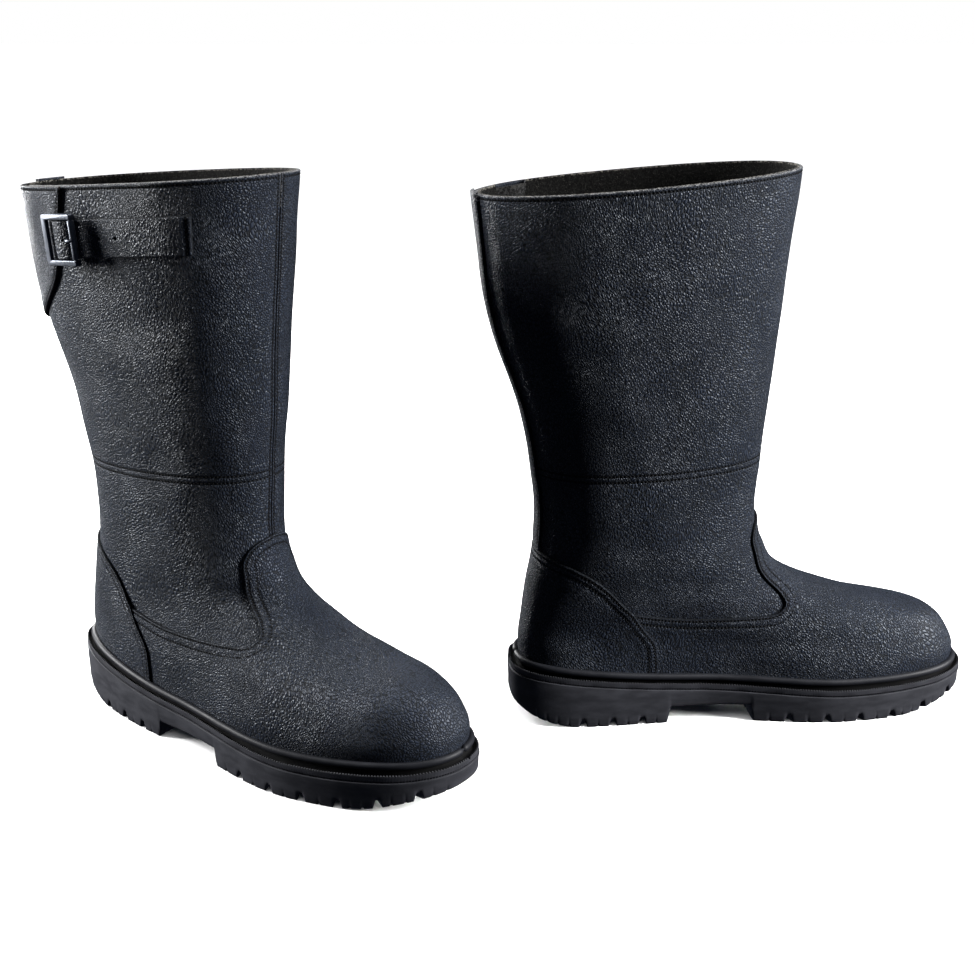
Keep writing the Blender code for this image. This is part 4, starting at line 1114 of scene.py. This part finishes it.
def midsole(boot, paint, outline):
    """The welt: a deck under the bead, a sunken groove, a rim with a toothed inner edge and a band. The
    groove and the notches between the teeth are painted near black as shade.
    """
    turns = 2 * math.pi * outline.run / TOOTH_PITCH
    comb = smooth_step(0.25, 0.75, 0.5 + 0.5 * np.cos(turns))
    fine = smooth_step(0.3, 0.7, 0.5 + 0.5 * np.cos(turns + 1))
    welt = outline.welt
    rim = -1.7 * MM - 1.4 * MM * joint_dip(outline, 1.3 * MM)
    profile = (
        (-5.0, 0.1, 0), (-4.7, -0.2, 0), (-4.8, -1.4, 0), (-5.0, -3.4, 0), (-4.4, -4.3, 0),
        (-2.55, -3.8, 0.9), (-2.2, -1.5, 0.95), (-1.9, -0.75, 0.95), (-1.4, -0.25, 0.95),
        (-1.0, -0.03, 0.9), (-0.75, -0.05, 0.8), (-0.6, -0.2, 0.6), (-0.5, -0.5, 0.3),
    )
    rows = outline.deck((0.995, 0.6, 0.3), 0.1 * MM, -5.0 * MM)
    # Painted shade: 1 in the groove under the bead and in the notches of the comb on the rim's inner edge, 0
    # elsewhere; the rubber is painted near black there.
    deep = [np.zeros(outline.count) for _ in rows]
    for out, height, tooth in profile:
        deep.append(np.ones(outline.count) if out < -2.1 else comb * (out < -0.55) + 0.0)
        level = welt + height * MM
        if out > -2.6:
            floor = welt - 3.8 * MM
            level = welt + rim + height * MM if out > -2.5 else floor
            level = level - np.minimum(tooth * comb * MM, level - floor)
        rows.append(outline.ring(out * MM, level))
    rows.append(outline.ring(-0.5 * MM, welt + rim - 1.0 * MM))
    for out, tooth, down in ((-0.48, 0, 5.3), (-0.55, 0.7, 5.6), (-0.75, 0.6, 6.25), (-1.2, 0, 6.5)):
        rows.append(outline.ring(out * MM - tooth * MM * fine, welt - down * MM))
    rows += outline.deck((0.3, 0.6, 0.995), -6.5 * MM, -1.2 * MM)
    rows.append(rows[0].copy() * (1, 1, 0) + np.array((0, 0, 1)) * rows[-1][:, 2:])
    deep += [np.zeros(outline.count)] * (len(rows) - len(deep))
    faces = loop_faces(len(rows), outline.count)
    points, faces, kept = welded(np.concatenate(rows), [face[::-1] for face in faces])
    deep = np.concatenate(deep)[kept]
    return boot.add("midsole", points, faces, paint, ("midsole",), "sole_rubber", sharp=55, deep=deep)


def near_run(outline, place, side):
    """Signed distance along the outline from the station of a place x, on one side of the sole."""
    half = outline.run[: outline.count // 2 + 1]
    at = np.interp(place, outline.x[: len(half)], half)
    centre = at if side > 0 else 2 * outline.half_run - at
    return outline.run - centre


NICKS = (15, 21, 28, 35, 53.5, 72.5, 91, 163, 187, 210, 232, 250, 257, 272, 279, 291, 296)


def outsole(boot, paint):
    """Side wall and lugs: edge blocks with open grooves between them, and studs down the middle."""
    half = NOTCH_WIDTH / 2
    shifts = (-half, -0.75 * half, -0.35 * half, 0.35 * half, 0.75 * half, half)
    nicks = tuple(x * MM for x in NICKS)
    marks = [(place, shifts) for place in NOTCHES]
    marks += [(place, (-0.9 * MM, 0, 0.9 * MM)) for place in nicks]
    breasts = (HEEL_BREAST, HEEL_BREAST + BREAST_SLOPE, FOREPART_START, FOREPART_START + BREAST_SLOPE)
    marks += [(place, (-0.6 * MM, 0, 0.6 * MM)) for place in breasts]
    outline = Outline(1.5 * MM, marks)
    notch = np.zeros(outline.count)
    nick = np.zeros(outline.count)
    for side in (1, -1):
        for place in NOTCHES:
            away = np.abs(near_run(outline, place, side))
            notch = np.maximum(notch, 1 - smooth_step(0.42 * half, half, away))
        for place in nicks:
            away = np.abs(near_run(outline, place, side))
            nick = np.maximum(nick, 1 - np.clip(away / (0.95 * MM), 0, 1))

    def tread(x):
        low = line_through(TREAD_LINE, x / MM) * MM
        start = smooth_step(HEEL_BREAST, HEEL_BREAST + BREAST_SLOPE, x)
        end = 1 - smooth_step(FOREPART_START, FOREPART_START + BREAST_SLOPE, x)
        return low + (ARCH_HEIGHT - low) * start * end, start * end

    split = outline.welt - MIDSOLE_HEIGHT
    rows = outline.deck((0.995, 0.5), -MIDSOLE_HEIGHT - 0.02 * MM, -1.2 * MM)
    for out, down in ((-1.2, 0.02), (-0.28, 0.05), (-0.06, 0.2), (0, 0.55)):
        rows.append(outline.ring(out * MM, split - down * MM))
    low, arch = tread(outline.x)
    cut = np.maximum(notch * NOTCH_HEIGHT, nick * 1.7 * MM) * (1 - arch)
    bottom = low + cut
    corner = 0.7 * MM
    above = low + np.maximum(NOTCH_HEIGHT * (1 - arch), 0) + 2.2 * MM
    for share in (0.35, 0.7, 1.0):
        level = split - 0.55 * MM + (above - split + 0.55 * MM) * share
        rows.append(outline.ring(-0.6 * MM * share, level))
    rows.append(outline.ring(-0.66 * MM, np.minimum(above - 0.3 * MM, bottom + corner + 1.1 * MM)))
    rows.append(outline.ring(-0.85 * MM, bottom + corner + 0.25 * MM))
    for out, share in ((-0.95, 1), (-1.15, 0.25), (-1.6, 0)):
        rows.append(outline.ring(out * MM, bottom + share * corner))
    shares = np.concatenate([np.linspace(0, 0.36, 13)[1:], np.linspace(0.36, 0.995, 20)[1:]])
    for share in shares:
        x, y = outline.inward(share, -1.6 * MM)
        depth_in = np.hypot(x - outline.x, y - outline.y)
        low, arch = tread(x)
        block = 1 - smooth_step(15.5 * MM, 17 * MM, depth_in)
        studs = smooth_step(19 * MM, 20 * MM, depth_in)
        channel = smooth_step(15.5 * MM, 16.6 * MM, depth_in) * (1 - studs)
        wave = np.abs(np.mod((x + 0.35 * np.abs(y - bow(x / SOLE_LENGTH))) / (11 * MM), 1) - 0.5)
        cross = (1 - smooth_step(0.06, 0.12, wave)) * studs
        shallow = 1 - smooth_step(1.0 * MM, 2.2 * MM, depth_in)
        groove = np.maximum.reduce([notch * block, nick * 0.34 * shallow, channel, cross * 0.8])
        rows.append(np.stack([x, y, low + groove * NOTCH_HEIGHT * (1 - arch)], -1))
    rows.append(rows[-1] * (1, 1, 0) + rows[0] * (0, 0, 1))
    faces = loop_faces(len(rows), outline.count)
    points, faces, _ = welded(np.concatenate(rows), [face[::-1] for face in faces])
    return boot.add("outsole", points, faces, paint, ("outsole",), "sole_rubber", sharp=35)


def welt_bead(boot, paint):
    """The round bead that hugs the foot of the upper, pinched at its joints."""
    count = 560
    fine = np.linspace(0, 1, 4001)
    run = run_along(surface(fine, FEATHER))
    turns = np.interp(np.arange(count) / count * run[-1], run, fine)
    at = np.interp(turns, fine, run)
    from_joint = np.minimum(np.minimum(at, run[-1] - at), np.abs(at - np.interp(0.5, fine, run)))
    pinch = 1 - 0.6 * (1 - smooth_step(0.5 * MM, 1.6 * MM, from_joint))
    base = surface(turns, FEATHER)
    normal = unit(outward(turns, FEATHER) * (1, 1, 0))
    centre = base + normal * (OVERLAY_FAR + 1.35 * MM)
    centre[:, 2] = welt_height(base[:, 0]) + 2.35 * MM
    angles = 2 * math.pi * np.arange(14) / 14
    rings = []
    for angle in angles:
        out, up = math.cos(angle) * BEAD_RADIUS, math.sin(angle) * (BEAD_RADIUS + 0.15 * MM)
        aside = normal * (out * pinch)[:, None]
        rings.append(centre + aside + np.array((0, 0, 1)) * (up * pinch)[:, None])
    faces = loop_faces(len(angles), count)
    return boot.add("welt_bead", np.concatenate(rings), faces, paint, ("welt_bead",), "sole_rubber")


def footbed(boot, paint):
    """The felt-faced foam insole, cupped at the heel and rounded at its edge."""
    turns = np.linspace(0, 1, 161)[:-1]
    outline = surface(turns, FEATHER)
    centre_x = 40 * MM + (outline[:, 0] - 12 * MM) / (275 * MM) * (SOLE_LENGTH - 92 * MM)
    centre = np.stack([centre_x, bow(centre_x / SOLE_LENGTH), centre_x * 0], -1)
    rows = []
    base_height, top_height, edge = 3.8 * MM, 8.2 * MM, 1.6 * MM
    margin = 0.045
    profile = [(1, base_height), (0.6, base_height), (0.3, base_height), (margin, base_height)]
    profile += [(margin, top_height - edge), (margin + 0.01, top_height - 0.5 * edge)]
    profile += [(s, top_height) for s in (margin + 0.04, 0.12, 0.22, 0.35, 0.5, 0.65, 0.8, 1)]
    for share, height in profile:
        point = outline + (centre - outline) * min(share, 0.995)
        heel = 1 - smooth_step(60 * MM, 120 * MM, point[:, 0])
        cup = 2.2 * MM * (1 - smooth_step(0.0, 0.45, share)) * heel
        rise = height + (cup if height > top_height - 0.1 * edge else 0)
        rows.append(np.stack([point[:, 0], point[:, 1], welt_height(point[:, 0]) + rise], -1))
    faces = grid_quads(len(rows), 160, wrap=True).tolist()
    points, faces, _ = welded(np.concatenate(rows), faces)
    item = boot.add("footbed_pad", points, faces, paint, ("footbed",), "footbed_foam")
    close_holes(item)


def close_holes(item):
    """Closes the narrow slit that a deck leaves along its spine, and turns the faces outward."""
    bm = bmesh.new()
    bm.from_mesh(item.data)
    bmesh.ops.remove_doubles(bm, verts=bm.verts, dist=0.18 * MM)
    bmesh.ops.holes_fill(bm, edges=[edge for edge in bm.edges if edge.is_boundary], sides=0)
    bmesh.ops.triangulate(bm, faces=[face for face in bm.faces if len(face.verts) > 4])
    bmesh.ops.recalc_face_normals(bm, faces=bm.faces)
    bm.to_mesh(item.data)
    bm.free()


# ---------------------------------------------------------------- strap and buckle
class BuckleFrame:
    """Axes at the middle of the buckle's centre bar: ahead along the strap, up along the bar, out.

    The buckle hangs more upright than the flared shaft behind it.
    """

    def __init__(self):
        u, v = np.array(BUCKLE_U), np.array(STRAP_LEVEL)
        normal = outward(u, v)
        self.out = unit(normal * (1, 1, 0.6))
        ahead = surface(u + 0.002, v) - surface(u - 0.002, v)
        ahead -= self.out * ahead.dot(self.out)
        self.ahead = ahead / np.linalg.norm(ahead)
        up = np.cross(self.out, self.ahead)
        self.up = up if up[2] > 0 else -up
        self.origin = surface(u, v) + normal * BAR_OFFSET

    def points(self, ahead, up, out):
        parts = np.broadcast_arrays(*(np.asarray(value, float)[..., None] for value in (ahead, up, out)))
        return self.origin + parts[0] * self.ahead + parts[1] * self.up + parts[2] * self.out


def strap_rise(distance, drop):
    """How far the strap's under face is outside the inner surface, by distance ahead of the bar."""
    stations = np.array((-60, -19, -12, -5.0, 0, 4.5, 11.5, 18, 200)) * MM
    heights = np.array((6.6, 6.9, 7.3, 9.8, 11.6, 10.7, 5.4, 3.9, 3.9)) * MM
    even = np.arange(-60, 201, 0.5) * MM
    smooth = np.convolve(np.interp(even, stations, heights), np.ones(5) / 5, "same")
    smooth[:3], smooth[-3:] = heights[0], heights[-1]
    flat = 1 - smooth_step(14 * MM, 26 * MM, np.abs(distance))
    return np.interp(distance, even, smooth) + flat * drop


def add_cylinder(bm, segments, radius, depth, matrix):
    bmesh.ops.create_cone(
        bm, cap_ends=True, segments=segments, radius1=radius, radius2=radius, depth=depth, matrix=matrix
    )


def cylinder_cutter(name, matrix):
    bm = bmesh.new()
    add_cylinder(bm, 20, 1, 1, matrix)
    mesh = bpy.data.meshes.new(name)
    bm.to_mesh(mesh)
    bm.free()
    return in_scene(name, mesh)


def apply_modifiers(item):
    """The object's mesh as its modifiers leave it."""
    graph = bpy.context.evaluated_depsgraph_get()
    mesh = bpy.data.meshes.new_from_object(item.evaluated_get(graph))
    item.modifiers.clear()
    item.data = mesh


def strap(boot, paint, buckle):
    """The strap, from its sewn front end through the buckle to its free tail, with punched holes."""
    around = 372 * MM
    length = (STRAP_FRONT_U - STRAP_TAIL_U) * around
    u = STRAP_TAIL_U + spread(length, 1.5 * MM, FINE_MARKS[:4], FINE_MARKS[:6]) / around
    half = STRAP_HALF_WIDTH
    v = STRAP_LEVEL - half + spread(2 * half, 2.0 * MM, FINE_MARKS[:4], FINE_MARKS[:4])
    turns, levels = np.meshgrid(u, v)
    tail = smooth_step(6 * MM, 0, (turns - STRAP_TAIL_U) * around) * 3 * MM
    levels = STRAP_LEVEL + (levels - STRAP_LEVEL) * (1 - (tail / half) ** 2 * 2)
    base = surface(turns, levels)
    distance = (base - buckle.origin) @ buckle.ahead
    rise = strap_rise(distance, -(base - buckle.origin) @ buckle.out - BAR_OFFSET)
    from_end = np.minimum(turns - u[0], u[-1] - turns) * around
    edge = np.minimum(half - np.abs(levels - STRAP_LEVEL), from_end)
    seam = np.abs((u[-1] - turns) * around - 2.4 * MM)
    normal = outward(turns, levels)
    far = smooth_step(16 * MM, 30 * MM, distance)
    lift = boot.relief(base) * far
    crown = 0.15 * MM * (1 - ((levels - STRAP_LEVEL) / half) ** 2)
    face = rise + STRAP_THICKNESS - rolled(edge, 0.8) - pulled_in(seam) + crown + lift
    outer = base + normal * face[..., None]
    inner = base + normal * (rise + lift)[..., None]
    quads = grid_quads(*turns.shape)
    points, faces, used = closed_sheet(outer.reshape(-1, 3), inner.reshape(-1, 3), quads)
    used = used % turns.size
    item = boot.add(
        "strap", points, faces, paint, ("strap",), "strap_leather",
        edge_near=nearness(edge, EDGE_REACH).ravel()[used],
        seam_near=nearness(seam, SEAM_REACH).ravel()[used],
    )
    middle = len(v) // 2
    holes = []
    for place in STRAP_HOLES:
        i = int(np.argmin(np.abs(distance[middle] - place)))
        size = (STRAP_HOLE_RADIUS, STRAP_HOLE_RADIUS, 8 * MM)
        holes.append((outer[middle, i], normal[middle, i], size))
    holes.append((buckle.points(PRONG_HOLE, 0, 2 * MM), buckle.out, (4.6 * MM, 1.5 * MM, 12 * MM)))
    punch(boot, item, buckle.ahead, holes)
    rows = np.linspace(-half + 1.6 * MM, half - 1.6 * MM, int(2 * half / STITCH_PITCH))
    at = u[-1] - 2.4 * MM / around
    places, normals = surface(at, STRAP_LEVEL + rows), outward(at, STRAP_LEVEL + rows)
    height = 3.9 * MM + STRAP_THICKNESS - SEAM_DIP + boot.relief(places)
    heading = np.broadcast_to(unit(places[-1] - places[0]), places.shape)
    return places + normals * height[:, None], heading, normals


def punch(boot, item, ahead, holes):
    """Cuts holes, each with its centre, its axis and its sizes ahead, across and along the axis."""
    cutters = []
    for k, (centre, axis, size) in enumerate(holes):
        sides = np.cross(axis, ahead)
        frame_axes = np.stack([unit(np.cross(sides, axis)), unit(sides), unit(axis)])
        corners = boot.place(np.stack([centre, *(centre + a * s for a, s in zip(frame_axes, size))]))
        columns = (corners[1:] - corners[0]).T
        matrix = Matrix([[*columns[r], corners[0][r]] for r in range(3)] + [[0, 0, 0, 1]])
        cutter = cylinder_cutter(f"hole_{k}", matrix)
        if boot.mirrored:
            cutter.data.flip_normals()
        cutters.append(cutter)
        modifier = item.modifiers.new("hole", "BOOLEAN")
        modifier.operation = "DIFFERENCE"
        modifier.object = cutter
    apply_modifiers(item)
    for cutter in cutters:
        bpy.data.objects.remove(cutter)


def bevelled_box(low, high):
    """A box with rounded edges, in buckle axes."""
    bm = bmesh.new()
    size = [b - a for a, b in zip(low, high)]
    centre = [(a + b) / 2 for a, b in zip(low, high)]
    bmesh.ops.create_cube(bm, size=1, matrix=Matrix.Translation(centre) @ Matrix.Diagonal((*size, 1)))
    bmesh.ops.bevel(bm, geom=list(bm.edges), offset=0.55 * MM, segments=3, profile=0.5, affect="EDGES")
    return bm


def rod(radius, half_length, at):
    """A rod along the buckle's up axis."""
    bm = bmesh.new()
    turn = Matrix.Translation(at) @ Matrix.Rotation(math.pi / 2, 4, "X")
    add_cylinder(bm, 28, radius, 2 * half_length, turn)
    return bm


def joined(parts, buckle):
    """Points in the boot's frame and faces of several bmeshes in buckle axes."""
    points, faces = [], []
    for bm in parts:
        bmesh.ops.recalc_face_normals(bm, faces=bm.faces)
        bm.verts.ensure_lookup_table()
        start = len(points)
        points.extend(tuple(vert.co) for vert in bm.verts)
        faces.extend([start + vert.index for vert in face.verts] for face in bm.faces)
        bm.free()
    return buckle.points(*np.array(points).T), faces


def add_metal(boot, name, points, faces, paint, **extra):
    """Adds a piece of the buckle that has a body of its own and turns its faces outward."""
    item = boot.add(name, points, faces, paint, (name,), "buckle_metal", f"{boot.prefix}_{name}", **extra)
    bm = bmesh.new()
    bm.from_mesh(item.data)
    bmesh.ops.recalc_face_normals(bm, faces=bm.faces)
    bm.to_mesh(item.data)
    bm.free()


def frame_outline():
    """The U of the rails and rear bar, seen from outside: ahead and up of each corner point."""
    outer_radius, inner_radius = 2.4 * MM, 0.8 * MM
    front = BUCKLE_FRONT + 1.6 * MM
    half, inner_half = BUCKLE_HALF_HEIGHT, BUCKLE_HALF_HEIGHT - RAIL
    inner_rear = BUCKLE_REAR + REAR_BAR_WIDTH
    tip = 0.9 * MM
    inner_tip = tip * 0.6
    arcs = (
        (front - tip, half - tip, tip, 0, 90, 4),
        (BUCKLE_REAR + outer_radius, half - outer_radius, outer_radius, 90, 180, 7),
        (BUCKLE_REAR + outer_radius, -half + outer_radius, outer_radius, 180, 270, 7),
        (front - tip, -half + tip, tip, 270, 360, 4),
        (front - inner_tip, -inner_half - inner_tip, inner_tip, 0, 90, 3),
        (inner_rear + inner_radius, -inner_half + inner_radius, inner_radius, 270, 180, 5),
        (inner_rear + inner_radius, inner_half - inner_radius, inner_radius, 180, 90, 5),
        (front - inner_tip, inner_half + inner_tip, inner_tip, 270, 360, 3),
    )
    line = []
    for ahead, up, radius, start, end, steps in arcs:
        angles = np.radians(np.linspace(start, end, steps))
        line += [(ahead + radius * math.cos(a), up + radius * math.sin(a)) for a in angles]
    return line


def buckle_frame(boot, paint, buckle):
    """A cast U of two rails and a rear bar, with the centre bar and the roller's pin across it."""
    line = frame_outline()
    bm = bmesh.new()
    base = [bm.verts.new((a, b, FRAME_TOP - REAR_BAR_DEPTH)) for a, b in line]
    face = bm.faces.new(base)
    moved = bmesh.ops.extrude_face_region(bm, geom=[face])["geom"]
    lifted = [item for item in moved if isinstance(item, bmesh.types.BMVert)]
    bmesh.ops.translate(bm, verts=lifted, vec=(0, 0, REAR_BAR_DEPTH))
    caps = [edge for edge in bm.edges if any(len(face.verts) > 4 for face in edge.link_faces)]
    bmesh.ops.bevel(bm, geom=caps, offset=0.5 * MM, segments=3, profile=0.5, affect="EDGES")
    rail_up = BUCKLE_HALF_HEIGHT - RAIL / 2
    parts = [bm]
    lugs = (
        (-6 * MM, 7 * MM, FRAME_LOW - 1.6 * MM),
        (BUCKLE_FRONT - 2.4 * MM, BUCKLE_FRONT + 1.5 * MM, FRAME_LOW),
    )
    for side in (1, -1):
        for rear, front, under in lugs:
            low = (rear, side * rail_up - RAIL / 2 + 0.05 * MM, under)
            high = (front, side * rail_up + RAIL / 2 - 0.05 * MM, FRAME_TOP - 1 * MM)
            parts.append(bevelled_box(low, high))
    parts.append(rod(BAR_RADIUS, rail_up, (0, 0, 0)))
    parts.append(rod(ROLLER_PIN, rail_up, (BUCKLE_FRONT, 0, PIN_OUT)))
    points, faces = joined(parts, buckle)
    add_metal(boot, "buckle_frame", points, faces, paint, sharp=50)


def buckle_roller(boot, paint, buckle):
    """A rolled tube with chamfered ends and a fine seam line, free on its pin."""
    half = BUCKLE_HALF_HEIGHT - RAIL - 0.45 * MM
    wall = ROLLER_RADIUS - ROLLER_BORE
    end = [
        (ROLLER_BORE, half), (ROLLER_BORE + 0.35 * wall, half), (ROLLER_RADIUS - 0.1 * MM, half - 0.12 * MM),
        (ROLLER_RADIUS, half - 0.4 * MM), (ROLLER_RADIUS, half * 0.35),
    ]
    profile = end + [(radius, -up) for radius, up in end[::-1]]
    count = 40
    angles = 2 * math.pi * np.arange(count) / count
    seam = 1 - 0.04 * (np.arange(count) == 0)
    rings = []
    for radius, up in profile:
        size = radius * seam if radius > ROLLER_BORE + 0.5 * wall else radius
        ahead, out = BUCKLE_FRONT + size * np.cos(angles), PIN_OUT + size * np.sin(angles)
        rings.append(buckle.points(ahead, up, out))
    add_metal(boot, "buckle_roller", np.concatenate(rings), loop_faces(len(profile), count), paint)


def buckle_prong(boot, paint, buckle):
    """The prong: an eye rolled round the centre bar and a shank that tapers to its tip on the roller."""
    route = np.array((
        (1.2, 0.9), (1.95, 0.4), (3.1, 0.5), (4.3, 1.1), (5.5, 2.35), (6.7, 3.8), (7.8, 4.95),
        (9.0, 5.8), (10.4, 6.3), (11.6, 6.4), (12.9, 6.3), (13.7, 6.05),
    )) * MM
    radius = np.interp(np.linspace(0, 1, len(route)), (0, 0.2, 0.75, 1), (1.05, 1.0, 0.95, 0.62)) * MM
    heading = unit(np.gradient(route, axis=0))
    side = np.stack([-heading[:, 1], heading[:, 0]], -1)
    count = 16
    angles = 2 * math.pi * np.arange(count) / count
    sections = [(route[0] - heading[0] * 0.05 * MM, 0.05 * MM, side[0])]
    sections += [(place, size, across) for place, size, across in zip(route, radius, side)]
    sections.append((route[-1] + heading[-1] * 0.45 * MM, 0.36 * MM, side[-1]))
    sections.append((route[-1] + heading[-1] * 0.6 * MM, 0.04 * MM, side[-1]))
    rings = []
    for place, size, across in sections:
        flat = place + across * (size * np.cos(angles))[:, None]
        rings.append(buckle.points(flat[:, 0], size * np.sin(angles), flat[:, 1]))
    faces = grid_quads(len(rings), count, wrap=True).tolist()
    start = len(rings) * count
    faces.append(list(range(count)))
    faces.append(list(range(start - count, start))[::-1])
    eye_turns, eye_sides = 32, 10
    around = 2 * math.pi * np.arange(eye_turns) / eye_turns
    bore, outer, half = BAR_RADIUS + 0.2 * MM, 2.4 * MM, 1.3 * MM
    middle, thick = (bore + outer) / 2, (outer - bore) / 2
    for k in range(eye_sides):
        angle = 2 * math.pi * k / eye_sides
        reach = middle + thick * math.copysign(abs(math.cos(angle)) ** 0.6, math.cos(angle))
        up = half * math.copysign(abs(math.sin(angle)) ** 0.6, math.sin(angle))
        rings.append(buckle.points(reach * np.cos(around), up, reach * np.sin(around)))
    faces += (np.array(loop_faces(eye_sides, eye_turns)) + start).tolist()
    add_metal(boot, "buckle_prong", np.concatenate(rings), faces, paint)


# ---------------------------------------------------------------- the pair
def paint_node(boot, name, paint):
    """Gives a CAD node that stays in place its own finish."""
    node = frame["nodes"][f"{boot.prefix}_{name}"]
    node.data.materials.clear()
    node.data.materials.append(paint)


def make_boots():
    navy = (0.0158, 0.0200, 0.0305)
    # Light grey for the rim's cut edge: partly wear, partly a painted highlight where the top of the rim
    # catches the light.
    rim_wear_and_highlight = (0.20, 0.20, 0.205)
    raw_edge = (0.05, 0.044, 0.040)
    upper = leather("upper_leather", navy, rim_wear_and_highlight, 331)
    flap_paint = leather("flap_leather", navy, raw_edge)
    strap_paint = leather("strap_leather", navy, rim_wear_and_highlight, 331, gloss=0.34)
    gusset_paint = felt("gusset_suede", (0.005, 0.005, 0.005), (0.03, 0.029, 0.027))
    sole_paint = rubber("sole_rubber", (0.026, 0.0265, 0.031), 0.42, 0.2)
    bead_paint = rubber("bead_rubber", (0.009, 0.0095, 0.012), 0.42, 0.17)
    felt_paint = felt("dark_felt", (0.0012, 0.0012, 0.0011), (0.18, 0.17, 0.15))
    canvas_paint = woven("canvas", (0.30, 0.28, 0.25))
    foam_paint = felt("footbed_felt", (0.008, 0.008, 0.009), (0.1, 0.1, 0.1))
    metal_paint = painted_metal("buckle_paint", (0.07, 0.08, 0.10))
    steel_paint = bare_steel("bare_steel")
    board_paint = fibre_board("fibre_board")
    thread_paint = thread("sewing_thread", (0.0008, 0.0008, 0.0011))

    panels = all_panels()
    rim_outline = Outline(0.42 * MM)
    buckle = BuckleFrame()
    for boot in (Boot("right", True, 11), Boot("left", False, 23)):
        rows = []
        for panel in panels:
            panel.make(boot, flap_paint if panel.name == "shaft_flap" else upper)
            rows += panel.stitches(boot)
        lining(boot, "shaft_lining", felt_paint, LINING_SEAM + 0.5 * MM, RIM, "felt_lining", True)
        lining(boot, "vamp_lining", canvas_paint, FEATHER, LINING_SEAM, "canvas_lining", False)
        gusset(boot, gusset_paint)
        midsole(boot, sole_paint, rim_outline)
        outsole(boot, sole_paint)
        welt_bead(boot, bead_paint)
        footbed(boot, foam_paint)
        rows.append(strap(boot, strap_paint, buckle))
        buckle_frame(boot, metal_paint, buckle)
        buckle_roller(boot, metal_paint, buckle)
        buckle_prong(boot, metal_paint, buckle)
        points, faces = stitch_mesh(rows)
        boot.add("stitching", points, faces, thread_paint, (), "leather")
        paint_node(boot, "buckle_chape", strap_paint)
        paint_node(boot, "toe_cap", steel_paint)
        paint_node(boot, "steel_plate", steel_paint)
        paint_node(boot, "insole_board", board_paint)
        paint_node(boot, "heel_stiffener", board_paint)


# ---------------------------------------------------------------- floor, light and camera
def make_floor():
    """A wide pale floor that the boots stand on."""
    mesh = bpy.data.meshes.new("floor")
    mesh.from_pydata([(x, y, 0) for y in (-40, 40) for x in (-40, 40)], [], [(0, 1, 3, 2)])
    floor = in_scene("floor", mesh)
    n = Nodes("floor_paper")
    tone = n.mix(n.ramp(n.noise(0.002, 2.0), 0.3, 0.7), (0.9, 0.9, 0.9), (0.93, 0.93, 0.93))
    mesh.materials.append(n.finish(tone, 0.8, Specular_IOR_Level=0.2))
    floor.visible_glossy = False
    floor.visible_diffuse = False


def area_light(name, place, target, width, height, power):
    data = bpy.data.lights.new(name, "AREA")
    data.shape = "RECTANGLE"
    data.size = width
    data.size_y = height
    data.energy = power
    item = in_scene(name, data)
    item.location = place
    direction = Vector(target) - Vector(place)
    item.rotation_euler = direction.to_track_quat("-Z", "Y").to_euler()


def make_light():
    middle = (0, 0, 0.16)
    area_light("left_softbox", (-1.5, 0.22, 0.62), middle, 0.35, 1.0, 66)
    area_light("rear_softbox", (-0.95, 1.25, 0.55), middle, 0.5, 1.0, 42)
    area_light("right_softbox", (1.5, -0.32, 0.75), middle, 0.4, 1.1, 90)
    area_light("top_softbox", (0.1, 0.25, 1.8), middle, 1.1, 0.6, 22)
    sky = bpy.data.lights.new("floor_light", "SUN")
    sky.energy = 3.6
    sky.angle = math.radians(100)
    lamp = in_scene("floor_light", sky)
    lit = bpy.data.collections.new("floor_only")
    lit.objects.link(bpy.data.objects["floor"])
    lamp.light_linking.receiver_collection = lit
    world = bpy.data.worlds.new("studio")
    bpy.context.scene.world = world
    world.use_nodes = True
    tree = world.node_tree
    background = tree.nodes["Background"]
    background.inputs["Color"].default_value = (0.030, 0.036, 0.052, 1)
    background.inputs["Strength"].default_value = 1.0
    seen = tree.nodes.new("ShaderNodeBackground")
    seen.inputs["Color"].default_value = (1, 1, 1, 1)
    path = tree.nodes.new("ShaderNodeLightPath")
    choose = tree.nodes.new("ShaderNodeMixShader")
    tree.links.new(path.outputs["Is Camera Ray"], choose.inputs["Fac"])
    tree.links.new(background.outputs[0], choose.inputs[1])
    tree.links.new(seen.outputs[0], choose.inputs[2])
    tree.links.new(choose.outputs[0], tree.nodes["World Output"].inputs["Surface"])
    bpy.context.scene.view_settings.view_transform = "Standard"


def make_camera():
    data = bpy.data.cameras.new("camera")
    data.sensor_width = 36
    data.lens = 50.73
    data.shift_x = 0.0074
    data.shift_y = -0.1056
    data.clip_start = 0.01
    item = in_scene("camera", data)
    item.location = (-0.01658, -0.79290, 0.42721)
    item.rotation_euler = (math.radians(90 - 14.516), 0, 0)
    bpy.context.scene.camera = item


make_camera()
make_boots()
make_floor()
make_light()
